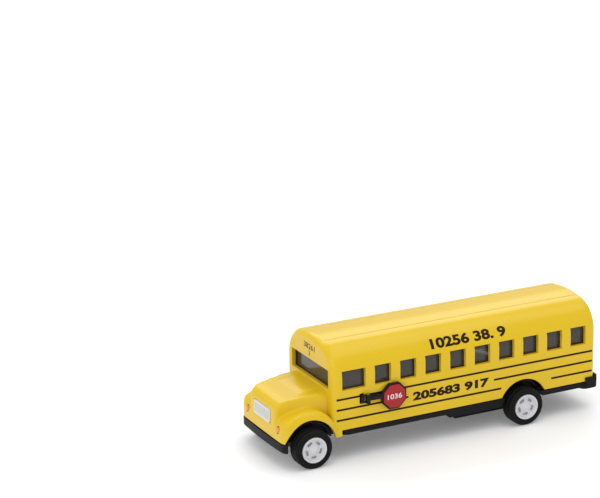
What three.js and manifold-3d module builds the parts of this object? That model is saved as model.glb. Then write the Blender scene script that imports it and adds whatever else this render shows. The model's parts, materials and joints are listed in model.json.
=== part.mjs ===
// A friction-motor toy school bus: one moulded body shell on a black chassis, smoked glazing, a hinged
// service door and stop arm, four wheels and a spring motor on the rear axle.
// Millimetres. X forward, Y to the bus's left, Z up. The origin is on the floor under the middle of the bus.
import * as THREE from "three";
import { mergeVertices } from "three/addons/utils/BufferGeometryUtils.js";
import Module from "manifold-3d";

const wasm = await Module();
wasm.setup();

// Driving dimensions: body
const FRONT_END = 64; // front bumper face
const REAR_END = -64; // rear bumper face
const BUMPER_PROUD = 1.4; // how far the rear bumper stands out from the body
const NOSE_SETBACK = 0.3; // front bumper face to the nose above it
const NOSE_LENGTH = 19.3; // front bumper face to the flat front of the cab
const CAB_FRONT = FRONT_END - NOSE_LENGTH;
const BODY_HALF = 18; // half width of the cab
const ROOF_TOP = 41.7;
const ROOF_CROWN = 0.6; // rise of the roof between its two gutter lines
const SHOULDER_SPRING = 30.1; // height where the shoulder's round leaves the side
const BODY_BOTTOM = 11.3; // lower edge of the yellow sides
const CORNER_BOTTOM = 9.1; // lower edge of the cab's front corners and of the skirt
const WALL = 1.6;
const END_R = 2.4; // round of the cab's front and rear edges, all the way up and over
const SKIRT_R = 2.6; // upright corners of the chassis
const CAB_STEPS = 6; // facets of each shoulder
const CROWN_STEPS = 4; // facets across the roof
const END_STEPS = 4; // facets of each end's round
const GUTTER_WIDTH = 0.5;
const GUTTER_DEPTH = 0.3;

// Driving dimensions: bonnet and wings
const NOSE_BOTTOM = 9.7;
const BONNET_TOP = 24.1;
const BONNET_INSET_REAR = 4.6; // cab side to bonnet side at the windscreen
const BONNET_INSET_FRONT = 6.9; // the same at the nose
const BONNET_R = 5; // round along the top edges of the bonnet
const BONNET_BROW_R = 8; // round between the bonnet and the nose
const BONNET_FALL = 1.1; // fall of the bonnet's top from the windscreen to that round
const NOSE_RAKE = 0.4; // lean of the nose back from its foot
const BONNET_PANEL_HALF = 7.6; // raised middle panel of the bonnet
const BONNET_PANEL_RISE = 0.3;
const WING_INSET = 0.5; // cab side to wing side
const WING_CREST_R = 13.7; // round of the wing's back over the wheel
const WING_PLAN_R = 2.4; // upright front corner of the nose
const WING_EDGE_R = 4.2;

// Driving dimensions: windows
const WINDOW_BOTTOM = 25.8;
const WINDOW_TOP = 32.7;
const WINDOW_PITCH = 10;
const WINDOW_WIDTH = 6.3;
const WINDOW_REAR_POST = 4; // least width of the post behind the last window
const DRIVER_POST = 3.6; // cab front to the long window beside the driver
const DRIVER_LENGTH = 9.1; // length of that window
const SCREEN_HALF = 14;
const SCREEN_BOTTOM = 25.8;
const SCREEN_TOP = 32.6;
const REAR_WINDOW_WIDTH = 7.4;
const REAR_WINDOW_PITCH = 10.4;
const PANE = 0.9; // glazing thickness
const PANE_LAP = 1.2; // glazing past the edges of the windows
const GAP = 0.3; // clearance between pieces that touch on the real toy

// Driving dimensions: wheels and axles
const WHEEL_R = 7;
const TYRE_WIDTH = 5.7;
const TYRE_BORE_R = 4.9;
const RIM_R = 4.6;
const WHEEL_OUTER = 20.25; // outer face of the tyres
const FRONT_OVERHANG = 10.8; // front bumper face to the front axle
const FRONT_AXLE_X = FRONT_END - FRONT_OVERHANG;
const REAR_AXLE_X = -32;
const AXLE_R = 0.9;
const AXLE_IN_RIM = 3.2; // length of axle held in each hub
const ARCH_R = 9.9;
const RIM_SLOTS = 5;
const RIM_DISH = 0.9; // depth of the rim's face inside its lip
const RIM_POCKET = 0.6; // depth of the pockets between the spokes
const RUNNING = 0.2; // radial clearance of a turning pin in its bore

// Driving dimensions: chassis
const SKIRT_BOTTOM = CORNER_BOTTOM;
const LIP = 0.8; // raised floor inside the shell
const CAB_FOOT = 3.7; // yellow corner of the cab ahead of the black skirt
const CHASSIS_FRONT_SKIRT = CAB_FRONT - CAB_FOOT;
const DEEP_SKIRT_BOTTOM = 7.8;
const DEEP_SKIRT = [-23.5, -1.5]; // stretch of deeper skirt ahead of the rear wheels
const WELL_R = 9.2; // outside of the wheel well liners
const LINER = 0.8;
const WELL_GAP = 1.55; // tyre's inner face to the wall of its well
const BUMPER_TOP = 9.4;
const BUMPER_BOTTOM = 6.3;
const BUMPER_HALF = 16.6;
const REAR_BUMPER_TOP = 12.9;
const REAR_BUMPER_BOTTOM = 8.5;
const REAR_BUMPER_LENGTH = 7.6;
const FRONT_POST = 11.7; // cab front to the front screw post
const REAR_POST = 12; // rear end to the rear screw post
const POSTS_X = [CAB_FRONT - FRONT_POST, REAR_END + REAR_POST];
const POST_R = 2.4;
const SCREW_R = 0.9;
const SCREW_HEAD_R = 2;
const SCREW_HEAD = 1.2;
const SCREW_LENGTH = 8;

// Driving dimensions: spring motor
const MODULE = 0.6;
const AXLE_TEETH = 10;
const CLUTCH_TEETH = 18; // large wheel of the clutch gear
const CLUTCH_PINION_TEETH = 10;
const DRUM_TEETH = 24;
const CLUTCH_BEARING = 36; // degrees above the floor from rear axle to clutch gear
const DRUM_BEARING = 8; // degrees above the floor from clutch gear to spring drum
const GEAR_WIDTH = 2;
const GEAR_PLANE_A = [2.2, 4.2]; // across the bus: axle gear and large clutch wheel
const GEAR_PLANE_B = [-0.6, 1.4]; // clutch pinion and drum gear
const CASE_WALL = 1.2;
const CASE_HALF = 6.6;
const CASE_MARGIN = 0.9; // room between the gears and the case
const DRUM_CUP_R = 6.4;
const DRUM_CUP_WALL = 0.6;
const DRUM_CUP_DEPTH = 4.2;
const SPRING_TURNS = 4;
const SPRING_STRIP = 0.35;
const SPRING_INNER_R = 1.9;
const SPRING_HEIGHT = 3.2;
const MOTOR_PIN_R = 0.8;
const FLANGE = 1.4;
const FLANGE_REACH = 5;

// Driving dimensions: stop arm
const STOP_SETBACK = 12.9; // cab front to the stop arm's hinge
const STOP_REACH = 10.2; // hinge to the middle of the sign
const STOP_HINGE_X = CAB_FRONT - STOP_SETBACK;
const STOP_SIGN_X = STOP_HINGE_X - STOP_REACH;
const STOP_Z = 21;
const STOP_ARM_RISE = 0.7; // arm's middle above the sign's middle
const STOP_SIGN_FLATS = 9.6;
const STOP_PLATE = 0.9;
const STOP_FACE = 0.4;
const STOP_ARM_HEIGHT = 1.9;
const STOP_BARREL_R = 0.9;
const STOP_PIN_R = 0.4;
const STOP_LUG = 0.6;

// Driving dimensions: service door on the right side
const DOOR_POST = 2.8; // cab front to the doorway
const DOOR_WIDTH = 9.7;
const DOOR = [CAB_FRONT - DOOR_POST - DOOR_WIDTH, CAB_FRONT - DOOR_POST]; // its rear and front edge
const DOOR_BOTTOM = 13;
const DOOR_TOP = 33.4;
const DOOR_PIN_R = 0.45;
const DOOR_PIN_PLAY = 0.1; // radial clearance of the door's pins
const DOOR_PIN_LENGTH = 1.2;

// Driving dimensions: trim
const GRILLE_BOTTOM = 14.2;
const GRILLE_TOP = 19.1;
const GRILLE_HALF = 6.4;
const GRILLE_DEPTH = 1;
const GRILLE_BARS = 5;
const LAMP_R = 1.15;
const LAMP_INSET = 5.4; // wing side to the middle of its lamp
const LAMP_Z = 13.6;

// Worked-out places
const BODY_REAR = REAR_END + BUMPER_PROUD;
const DRIVER_WINDOW = [CAB_FRONT - DRIVER_POST - DRIVER_LENGTH, CAB_FRONT - DRIVER_POST];
const WINDOW_FIRST = DRIVER_WINDOW[0] - (WINDOW_PITCH - WINDOW_WIDTH); // front edge of the first square window
const WINDOW_ROW = WINDOW_FIRST - WINDOW_WIDTH - BODY_REAR - WINDOW_REAR_POST;
const WINDOW_COUNT = 1 + Math.floor(WINDOW_ROW / WINDOW_PITCH);
const NOSE_FRONT = FRONT_END - NOSE_SETBACK;
const GUTTER_Z = ROOF_TOP - ROOF_CROWN;
const SHOULDER_R = GUTTER_Z - SHOULDER_SPRING;
const GUTTER_Y = BODY_HALF - SHOULDER_R;
const TYRE_INNER = WHEEL_OUTER - TYRE_WIDTH;
const WELL_INNER = TYRE_INNER - WELL_GAP - LINER;
const BONNET_HALF_REAR = BODY_HALF - BONNET_INSET_REAR;
const BONNET_HALF_FRONT = BODY_HALF - BONNET_INSET_FRONT;
const WING_HALF = BODY_HALF - WING_INSET;
const LAMP_Y = WING_HALF - LAMP_INSET;
const STOP_ARM_Z = STOP_Z + STOP_ARM_RISE;
const AXLE_HALF = TYRE_INNER + AXLE_IN_RIM;
const DECK_TOP = BODY_BOTTOM - GAP;

// Materials
const paint = (color, roughness, metalness = 0) => new THREE.MeshStandardMaterial({ color, roughness, metalness });
const YELLOW = paint(0xf2c01e, 0.28);
const BLACK = paint(0x17171a, 0.5);
const RUBBER = paint(0x121214, 0.75);
const WHITE = paint(0xe4e4e8, 0.35);
const SMOKE = paint(0x4a4644, 0.12);
const SILVER = paint(0xcfd3da, 0.3, 0.6);
const AMBER = paint(0xf0962a, 0.2);
const RED = paint(0xc2263a, 0.35);
const STEEL = paint(0xb9bcc0, 0.3, 1);
const SPRING_STEEL = paint(0x7f8894, 0.35, 1);
const NATURAL = paint(0xe9e6da, 0.5);

// Solids: closed meshes joined and cut
function solid(geometry) {
  const bare = geometry.clone();
  bare.deleteAttribute("normal");
  bare.deleteAttribute("uv");
  const merged = mergeVertices(bare, 1e-4);
  return new wasm.Manifold(
    new wasm.Mesh({
      numProp: 3,
      vertProperties: merged.attributes.position.array,
      triVerts: new Uint32Array(merged.index.array),
    }),
  );
}

function geometryOf(body) {
  const mesh = body.getMesh();
  return new THREE.BufferGeometry()
    .setAttribute("position", new THREE.BufferAttribute(mesh.vertProperties, 3))
    .setIndex(new THREE.BufferAttribute(mesh.triVerts, 1));
}

const join = (bodies) => bodies.reduce((sum, body) => sum.add(body));
const cut = (body, tools) => tools.reduce((rest, tool) => rest.subtract(tool), body);
const mirrored = (body) => [body, body.mirror([0, 1, 0])];

// Extrusions: a plan outline (x, y) along Z, a side outline (x, z) along Y, a section (y, z) along X
function plan(shape, bottom, top) {
  const g = new THREE.ExtrudeGeometry(shape, { depth: top - bottom, bevelEnabled: false, curveSegments: 4 });
  return solid(g.translate(0, 0, bottom));
}

function side(shape, from, to, curveSegments = 5) {
  const g = new THREE.ExtrudeGeometry(shape, { depth: to - from, bevelEnabled: false, curveSegments });
  return solid(g.rotateX(Math.PI / 2).translate(0, to, 0));
}

function section(shape, from, to) {
  const g = new THREE.ExtrudeGeometry(shape, { depth: to - from, bevelEnabled: false, curveSegments: 5 });
  return solid(g.rotateX(Math.PI / 2).rotateZ(Math.PI / 2).translate(from, 0, 0));
}

function block(x, y, z) {
  const g = new THREE.BoxGeometry(x[1] - x[0], y[1] - y[0], z[1] - z[0]);
  return solid(g.translate((x[0] + x[1]) / 2, (y[0] + y[1]) / 2, (z[0] + z[1]) / 2));
}

// A round bar along Y or Z
function barY(x, z, radius, from, to, sides = 20) {
  const g = new THREE.CylinderGeometry(radius, radius, to - from, sides);
  return solid(g.translate(x, (from + to) / 2, z));
}

function barZ(x, y, radius, from, to, sides = 16) {
  const g = new THREE.CylinderGeometry(radius, radius, to - from, sides);
  return solid(g.rotateX(Math.PI / 2).translate(x, y, (from + to) / 2));
}

// Outlines
function roundedRect(x0, y0, x1, y1, r) {
  const s = new THREE.Shape();
  s.moveTo(x0 + r, y0);
  s.lineTo(x1 - r, y0);
  s.absarc(x1 - r, y0 + r, r, -Math.PI / 2, 0);
  s.lineTo(x1, y1 - r);
  s.absarc(x1 - r, y1 - r, r, 0, Math.PI / 2);
  s.lineTo(x0 + r, y1);
  s.absarc(x0 + r, y1 - r, r, Math.PI / 2, Math.PI);
  s.lineTo(x0, y0 + r);
  s.absarc(x0 + r, y0 + r, r, Math.PI, 1.5 * Math.PI);
  return s;
}

// Section of the cab, taken in by an even amount: two sides, two shoulders and a crowned roof
function cabSection(inset, bottom) {
  const half = BODY_HALF - inset;
  const r = SHOULDER_R - inset;
  const gutter = GUTTER_Z - inset;
  const points = [new THREE.Vector2(-half, bottom), new THREE.Vector2(half, bottom)];
  for (let i = 0; i <= CAB_STEPS; i += 1) {
    const angle = (Math.PI / 2) * (i / CAB_STEPS);
    points.push(new THREE.Vector2(GUTTER_Y + r * Math.cos(angle), gutter - r + r * Math.sin(angle)));
  }
  for (let i = 1; i < CROWN_STEPS; i += 1) {
    const t = 1 - (2 * i) / CROWN_STEPS;
    points.push(new THREE.Vector2(GUTTER_Y * t, gutter + ROOF_CROWN * (1 - t * t)));
  }
  for (let i = CAB_STEPS; i >= 0; i -= 1) {
    const angle = (Math.PI / 2) * (i / CAB_STEPS);
    points.push(new THREE.Vector2(-GUTTER_Y - r * Math.cos(angle), gutter - r + r * Math.sin(angle)));
  }
  return points;
}

// A closed skin through outlines (y, z) of equal count, each at its own x, from rear to front
function loft(stations) {
  const count = stations[0].outline.length;
  const last = (stations.length - 1) * count;
  const corners = stations.flatMap(({ x, outline }) => outline.flatMap((p) => [x, p.x, p.y]));
  const faces = [];
  for (let ring = 0; ring < last; ring += count) {
    for (let i = 0; i < count; i += 1) {
      const j = (i + 1) % count;
      faces.push(ring + i, ring + j, ring + count + i);
      faces.push(ring + j, ring + count + j, ring + count + i);
    }
  }
  for (const [a, b, c] of THREE.ShapeUtils.triangulateShape(stations[0].outline, [])) {
    faces.push(c, b, a);
    faces.push(last + a, last + b, last + c);
  }
  const g = new THREE.BufferGeometry();
  g.setAttribute("position", new THREE.BufferAttribute(new Float32Array(corners), 3));
  g.setIndex(faces);
  return solid(g);
}

// The cab: its section run from end to end, drawn in at both ends by a quarter round
function cabForm(inset, bottom) {
  const r = END_R - inset / 2;
  const rear = BODY_REAR + inset;
  const front = CAB_FRONT - inset;
  const stations = [];
  for (let i = 0; i <= END_STEPS; i += 1) {
    const angle = (Math.PI / 2) * (i / END_STEPS);
    const outline = cabSection(inset + r * (1 - Math.sin(angle)), bottom);
    stations.push({ x: rear + r * (1 - Math.cos(angle)), outline });
  }
  for (const { x, outline } of [...stations].reverse()) stations.push({ x: rear + front - x, outline });
  return loft(stations);
}

// The bonnet: a plan that narrows to the nose, a side outline that rolls over into the grille,
// and a section rounded along its top edges
// Height of the bonnet's top along its length
const bonnetLine = (x) => BONNET_TOP - (BONNET_FALL * (x - CAB_FRONT)) / (NOSE_FRONT - BONNET_BROW_R - CAB_FRONT);

function bonnetForm(inset, bottom) {
  const back = CAB_FRONT - WALL;
  const front = NOSE_FRONT - inset;
  const rear = BONNET_HALF_REAR - inset;
  const nose = BONNET_HALF_FRONT - inset;
  const top = BONNET_TOP - inset;
  const roll = BONNET_BROW_R - inset / 2;
  const round = BONNET_R - inset / 2;
  const outline = new THREE.Shape();
  outline.moveTo(back, -rear);
  outline.lineTo(front - round, -nose);
  outline.quadraticCurveTo(front, -nose, front, round - nose);
  outline.quadraticCurveTo(front + 0.4, 0, front, nose - round);
  outline.quadraticCurveTo(front, nose, front - round, nose);
  outline.lineTo(back, rear);
  const profile = new THREE.Shape();
  profile.moveTo(back, bottom);
  profile.lineTo(front, bottom);
  profile.lineTo(front - NOSE_RAKE, bonnetLine(front) - inset - roll);
  profile.quadraticCurveTo(front - NOSE_RAKE, bonnetLine(front) - inset, front - roll, bonnetLine(front - roll) - inset);
  profile.lineTo(back, bonnetLine(back) - inset);
  const across = new THREE.Shape();
  across.moveTo(-rear, bottom);
  across.lineTo(rear, bottom);
  across.lineTo(rear, top - round);
  across.absarc(rear - round, top - round, round, 0, Math.PI / 2);
  across.lineTo(round - rear, top);
  across.absarc(round - rear, top - round, round, Math.PI / 2, Math.PI);
  return plan(outline, bottom, top + 1)
    .intersect(side(profile, -BODY_HALF, BODY_HALF))
    .intersect(section(across, back, front + 1));
}

// The pair of wings: a round back over each wheel that runs forward into the nose
function wingForm(inset, bottom) {
  const back = CAB_FRONT - WALL;
  const front = NOSE_FRONT - inset;
  const half = WING_HALF - inset;
  const crest = WING_CREST_R - inset;
  const corner = WING_PLAN_R - inset / 2;
  const edge = WING_EDGE_R - inset / 2;
  const profile = new THREE.Shape();
  profile.moveTo(back, bottom);
  profile.lineTo(front, bottom);
  profile.lineTo(front - 0.2, WHEEL_R + crest - 5.5);
  profile.quadraticCurveTo(front - 0.6, WHEEL_R + crest - 0.2, FRONT_AXLE_X + 1, WHEEL_R + crest);
  profile.quadraticCurveTo(back + 2.6, WHEEL_R + crest, back, WHEEL_R + crest - 6);
  const outline = new THREE.Shape();
  outline.moveTo(back, -half);
  outline.lineTo(front - corner, -half);
  outline.quadraticCurveTo(front - 0.3, -half, front - 0.2, corner - half);
  outline.quadraticCurveTo(front + 0.2, 0, front - 0.2, half - corner);
  outline.quadraticCurveTo(front - 0.3, half, front - corner, half);
  outline.lineTo(back, half);
  const top = WHEEL_R + crest;
  const across = new THREE.Shape();
  across.moveTo(-half, bottom);
  across.lineTo(half, bottom);
  across.lineTo(half, top - edge - 2);
  across.quadraticCurveTo(half, top, half - edge - 1.5, top);
  across.lineTo(edge + 1.5 - half, top);
  across.quadraticCurveTo(-half, top, -half, top - edge - 2);
  return side(profile, -BODY_HALF, BODY_HALF)
    .intersect(plan(outline, bottom, top))
    .intersect(section(across, back, front + 1));
}

// Cutters for every opening in the shell
function windowCuts() {
  const cuts = [];
  const through = [-BODY_HALF - 1, BODY_HALF + 1];
  const left = [0, BODY_HALF + 1];
  const z = [WINDOW_BOTTOM, WINDOW_TOP];
  for (let i = 0; i < WINDOW_COUNT; i += 1) {
    const front = WINDOW_FIRST - i * WINDOW_PITCH;
    cuts.push(block([front - WINDOW_WIDTH, front], through, z));
  }
  cuts.push(block(DRIVER_WINDOW, left, z));
  const screen = roundedRect(-SCREEN_HALF, SCREEN_BOTTOM, SCREEN_HALF, SCREEN_TOP, 0.6);
  cuts.push(section(screen, CAB_FRONT - 2 * WALL, CAB_FRONT + 1));
  for (const i of [-1, 0, 1]) {
    const y = i * REAR_WINDOW_PITCH;
    const span = [y - REAR_WINDOW_WIDTH / 2, y + REAR_WINDOW_WIDTH / 2];
    cuts.push(block([BODY_REAR - 1, BODY_REAR + 2 * WALL], span, z));
  }
  return cuts;
}

function gutterCuts() {
  const groove = new THREE.Shape();
  groove.moveTo(GUTTER_Y - GUTTER_WIDTH / 2, GUTTER_Z + 0.2);
  groove.lineTo(GUTTER_Y, GUTTER_Z - GUTTER_DEPTH);
  groove.lineTo(GUTTER_Y + GUTTER_WIDTH / 2, GUTTER_Z + 0.2);
  return mirrored(section(groove, BODY_REAR + END_R, CAB_FRONT - END_R));
}

const archCuts = () =>
  [FRONT_AXLE_X, REAR_AXLE_X].flatMap((x) => mirrored(barY(x, WHEEL_R, ARCH_R, WELL_INNER - GAP, BODY_HALF + 2, 28)));

const doorAxis = { x: DOOR[1] - WALL / 2 - GAP, y: WALL / 2 - BODY_HALF };

function bodyShell() {
  const outer = join([
    cabForm(0, CORNER_BOTTOM),
    bonnetForm(0, NOSE_BOTTOM),
    wingForm(0, NOSE_BOTTOM),
    bonnetPanel(),
  ]);
  const inner = join([
    cabForm(WALL, CORNER_BOTTOM - 1),
    bonnetForm(WALL, NOSE_BOTTOM - 1),
    wingForm(WALL, NOSE_BOTTOM - 1),
  ]);
  const sill = block([BODY_REAR - 1, CHASSIS_FRONT_SKIRT + GAP], [-20, 20], [0, BODY_BOTTOM]);
  const doorway = block(DOOR, [-BODY_HALF - 1, 2 - BODY_HALF], [DOOR_BOTTOM, DOOR_TOP]);
  const grilleSeat = block(
    [NOSE_FRONT - GRILLE_DEPTH, FRONT_END],
    [-GRILLE_HALF - GAP, GRILLE_HALF + GAP],
    [GRILLE_BOTTOM - GAP, GRILLE_TOP + GAP],
  );
  const grilleBacking = block(
    [NOSE_FRONT - GRILLE_DEPTH - WALL, NOSE_FRONT - GRILLE_DEPTH + 0.2],
    [-GRILLE_HALF - WALL, GRILLE_HALF + WALL],
    [GRILLE_BOTTOM - WALL, GRILLE_TOP + WALL],
  );
  let shell = cut(outer, [inner, sill, ...windowCuts(), ...gutterCuts(), ...archCuts(), doorway]);
  shell = cut(join([shell, grilleBacking.intersect(outer), ...screwPosts(), ...doorSockets()]), [grilleSeat]);
  return cut(shell, [...pilotHoles(), ...doorPinHoles(), ...lampSeats(), ...stopBracketSeat()]);
}

// A low raised panel along the middle of the bonnet
function bonnetPanel() {
  const back = CAB_FRONT - 0.5;
  const front = NOSE_FRONT - BONNET_BROW_R - 1;
  const outline = roundedRect(back, -BONNET_PANEL_HALF, front, BONNET_PANEL_HALF, 1.2);
  const profile = new THREE.Shape();
  profile.moveTo(back, BONNET_TOP - 4);
  profile.lineTo(front + 1, BONNET_TOP - 4);
  profile.lineTo(front + 1, bonnetLine(front + 1) + BONNET_PANEL_RISE);
  profile.lineTo(back, bonnetLine(back) + BONNET_PANEL_RISE);
  return plan(outline, BONNET_TOP - 2.5, BONNET_TOP + 1).intersect(side(profile, -BODY_HALF, BODY_HALF));
}

// Posts from the roof down to the chassis, drilled for the two screws
const screwPosts = () => POSTS_X.map((x) => barZ(x, 0, POST_R, DECK_TOP + LIP + GAP, ROOF_TOP - WALL / 2));
const pilotHoles = () =>
  POSTS_X.map((x) => barZ(x, 0, SCREW_R + RUNNING, DECK_TOP, SKIRT_BOTTOM + SCREW_HEAD + SCREW_LENGTH));

// Bosses above and below the doorway that hold the door's pins
function doorSockets() {
  const reach = [doorAxis.x - 1.4, doorAxis.x + 1.4];
  const inward = [WALL / 2 - BODY_HALF, doorAxis.y + 1.6];
  return [
    block(reach, inward, [DOOR_TOP, DOOR_TOP + DOOR_PIN_LENGTH + 0.8]),
    block(reach, inward, [DOOR_BOTTOM - DOOR_PIN_LENGTH - 0.5, DOOR_BOTTOM]),
  ];
}

const doorPinHoles = () => [
  barZ(doorAxis.x, doorAxis.y, DOOR_PIN_R + DOOR_PIN_PLAY, DOOR_TOP - 0.5, DOOR_TOP + DOOR_PIN_LENGTH),
  barZ(doorAxis.x, doorAxis.y, DOOR_PIN_R + DOOR_PIN_PLAY, DOOR_BOTTOM - DOOR_PIN_LENGTH, DOOR_BOTTOM + 0.5),
];

// Glazing: a belt behind the windows that follows the inside of the shell, open beside the service door
function windowGlazing() {
  const inset = WALL + GAP;
  const belt = block([REAR_END, FRONT_END], [-BODY_HALF, BODY_HALF], [WINDOW_BOTTOM - PANE_LAP, WINDOW_TOP + PANE_LAP]);
  const doorGap = block([DOOR[0] - PANE_LAP, DOOR[1] + PANE_LAP], [-BODY_HALF, -BODY_HALF / 2], [0, ROOF_TOP]);
  return cut(cabForm(inset, 0), [cabForm(inset + PANE, -1), doorGap]).intersect(belt);
}

// Service door: a panel with a rounded hinge edge, a window with its pane moulded in, and two pins
function serviceDoor() {
  const y = [-BODY_HALF, WALL - BODY_HALF];
  const r = WALL / 2;
  const rear = DOOR[0] + GAP;
  const bottom = DOOR_BOTTOM + GAP;
  const top = DOOR_TOP - GAP;
  const slab = join([
    block([rear, doorAxis.x], y, [bottom, top]),
    barZ(doorAxis.x, doorAxis.y, r, bottom, top, 20),
    barZ(doorAxis.x, doorAxis.y, DOOR_PIN_R, bottom - DOOR_PIN_LENGTH, top + DOOR_PIN_LENGTH),
  ]);
  const light = block([rear + 1.6, doorAxis.x - 1.2], [y[0] - 1, y[1] + 1], [WINDOW_BOTTOM, WINDOW_TOP - 0.6]);
  const lower = block([rear + 1.6, doorAxis.x - 1.2], [y[0] - 1, y[1] + 1], [BODY_BOTTOM + 5.6, WINDOW_BOTTOM - 1.6]);
  return cut(slab.intersect(cabForm(0, CORNER_BOTTOM)), [light, lower]);
}

function doorPane(z) {
  const inside = [DOOR[0] + 1.6 + 2 * GAP, doorAxis.x - 1.2 - GAP];
  return block(inside, [WALL - BODY_HALF - PANE, WALL - BODY_HALF - 0.1], [z[0] + GAP, z[1] - GAP]);
}

// Grille: a frame with cross bars in the nose
function grille() {
  const x = [NOSE_FRONT - GRILLE_DEPTH + GAP, NOSE_FRONT + 0.25];
  const plate = section(roundedRect(-GRILLE_HALF, GRILLE_BOTTOM, GRILLE_HALF, GRILLE_TOP, 0.8), x[0], x[1]);
  const frame = 0.8;
  const pitch = (GRILLE_TOP - GRILLE_BOTTOM - 2 * frame) / GRILLE_BARS;
  const grooves = [];
  for (let i = 0; i < GRILLE_BARS; i += 1) {
    const z = GRILLE_BOTTOM + frame + i * pitch;
    grooves.push(block([x[1] - 0.4, x[1] + 1], [frame - GRILLE_HALF, GRILLE_HALF - frame], [z + 0.25, z + pitch - 0.25]));
  }
  return cut(plate, grooves);
}

// Lamps: a domed lens on a short stem, set in each wing's front
const lampX = NOSE_FRONT - 1.9;
const lampSeats = () =>
  [LAMP_Y, -LAMP_Y].map((y) => solid(
    new THREE.CylinderGeometry(LAMP_R + RUNNING, LAMP_R + RUNNING, 6, 16).rotateZ(Math.PI / 2).translate(lampX, y, LAMP_Z),
  ));

function lamp(y) {
  const face = lampX + 1.2;
  const profile = [
    new THREE.Vector2(0, -1.9),
    new THREE.Vector2(0.8, -1.9),
    new THREE.Vector2(0.8, 0),
    new THREE.Vector2(LAMP_R, 0),
    new THREE.Vector2(LAMP_R, 0.35),
    new THREE.Vector2(LAMP_R * 0.72, 0.8),
    new THREE.Vector2(0, 1),
  ];
  return solid(new THREE.LatheGeometry(profile, 16).rotateZ(-Math.PI / 2).translate(face, y, LAMP_Z));
}

// Chassis: deck with skirt, bumpers, wheel well liners, bearing blocks and a well for the motor
function chassis() {
  const skirtHalf = BODY_HALF - 0.2;
  const outline = roundedRect(BODY_REAR + 0.2, -skirtHalf, CHASSIS_FRONT_SKIRT, skirtHalf, SKIRT_R);
  const inside = BODY_HALF - WALL - GAP;
  const pieces = [
    plan(outline, SKIRT_BOTTOM, DECK_TOP),
    plan(roundedRect(BODY_REAR + WALL + GAP, -inside, DOOR[0] + 6, inside, SKIRT_R), DECK_TOP - 0.5, DECK_TOP + LIP),
    block(DEEP_SKIRT, [-skirtHalf, skirtHalf], [DEEP_SKIRT_BOTTOM, DECK_TOP]),
    block([CHASSIS_FRONT_SKIRT - 1, NOSE_FRONT - 2 * WALL], [-WELL_INNER, WELL_INNER], [SKIRT_BOTTOM - 1, DECK_TOP]),
    ...[FRONT_AXLE_X, REAR_AXLE_X].map((x) => block([x - 3, x + 3], [-WELL_INNER, WELL_INNER], [WHEEL_R - 3, DECK_TOP])),
    ...wellLiners(),
    frontBumper(),
    rearBumper(),
  ];
  const tools = [
    ...wheelWells(WELL_R - LINER, WELL_INNER + LINER, BODY_HALF + 5),
    ...[FRONT_AXLE_X, REAR_AXLE_X].map((x) => barY(x, WHEEL_R, AXLE_R + RUNNING, -BODY_HALF, BODY_HALF)),
    motorWell(),
    ...POSTS_X.map((x) => barZ(x, 0, SCREW_R + RUNNING, 0, ROOF_TOP)),
    ...POSTS_X.map((x) => barZ(x, 0, SCREW_HEAD_R + RUNNING, 0, SKIRT_BOTTOM + SCREW_HEAD)),
  ];
  return cut(join(pieces), tools);
}

const wheelWells = (radius, inner, outer) =>
  [FRONT_AXLE_X, REAR_AXLE_X].flatMap((x) => mirrored(barY(x, WHEEL_R, radius, inner, outer, 28)));

// The liners stop level with the skirt
const wellLiners = () => {
  const above = block([REAR_END, FRONT_END], [-BODY_HALF, BODY_HALF], [SKIRT_BOTTOM, ROOF_TOP]);
  return wheelWells(WELL_R, WELL_INNER, TYRE_INNER + 1.2).map((liner) => liner.intersect(above));
};

function frontBumper() {
  const back = FRONT_END - 2.4;
  const outline = new THREE.Shape();
  outline.moveTo(back, -BUMPER_HALF + 2);
  outline.lineTo(FRONT_AXLE_X + WELL_R - 0.6, -BUMPER_HALF);
  outline.lineTo(FRONT_AXLE_X + WELL_R - 0.6, -BUMPER_HALF - 0.6);
  outline.quadraticCurveTo(FRONT_END - 0.6, -BUMPER_HALF - 0.4, FRONT_END - 0.4, 2.4 - BUMPER_HALF);
  outline.quadraticCurveTo(FRONT_END + 0.4, 0, FRONT_END - 0.4, BUMPER_HALF - 2.4);
  outline.quadraticCurveTo(FRONT_END - 0.6, BUMPER_HALF + 0.4, FRONT_AXLE_X + WELL_R - 0.6, BUMPER_HALF + 0.6);
  outline.lineTo(FRONT_AXLE_X + WELL_R - 0.6, BUMPER_HALF);
  outline.lineTo(back, BUMPER_HALF - 2);
  const arms = block([NOSE_FRONT - 8, back + 1], [-WELL_INNER + 1, WELL_INNER - 1], [BUMPER_BOTTOM + 1.4, BUMPER_TOP]);
  return join([plan(outline, BUMPER_BOTTOM, BUMPER_TOP), arms]);
}

function rearBumper() {
  const inner = BODY_REAR - GAP;
  const front = REAR_END + REAR_BUMPER_LENGTH;
  const half = BODY_HALF + 0.5;
  const ring = plan(roundedRect(REAR_END, -half, front, half, SKIRT_R), REAR_BUMPER_BOTTOM, REAR_BUMPER_TOP);
  const bodySpace = block([inner, front + 1], [-BODY_HALF - GAP, BODY_HALF + GAP], [DECK_TOP, ROOF_TOP]);
  return cut(ring, [bodySpace]);
}

// Spring motor: places of its three shafts
const pitchR = (teeth) => (MODULE * teeth) / 2;
const polar = (from, degrees, length) => ({
  x: from.x + length * Math.cos(THREE.MathUtils.degToRad(degrees)),
  z: from.z + length * Math.sin(THREE.MathUtils.degToRad(degrees)),
});
const axle = { x: REAR_AXLE_X, z: WHEEL_R };
const clutch = polar(axle, CLUTCH_BEARING, pitchR(AXLE_TEETH) + pitchR(CLUTCH_TEETH));
const drum = polar(clutch, DRUM_BEARING, pitchR(CLUTCH_PINION_TEETH) + pitchR(DRUM_TEETH));

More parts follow.
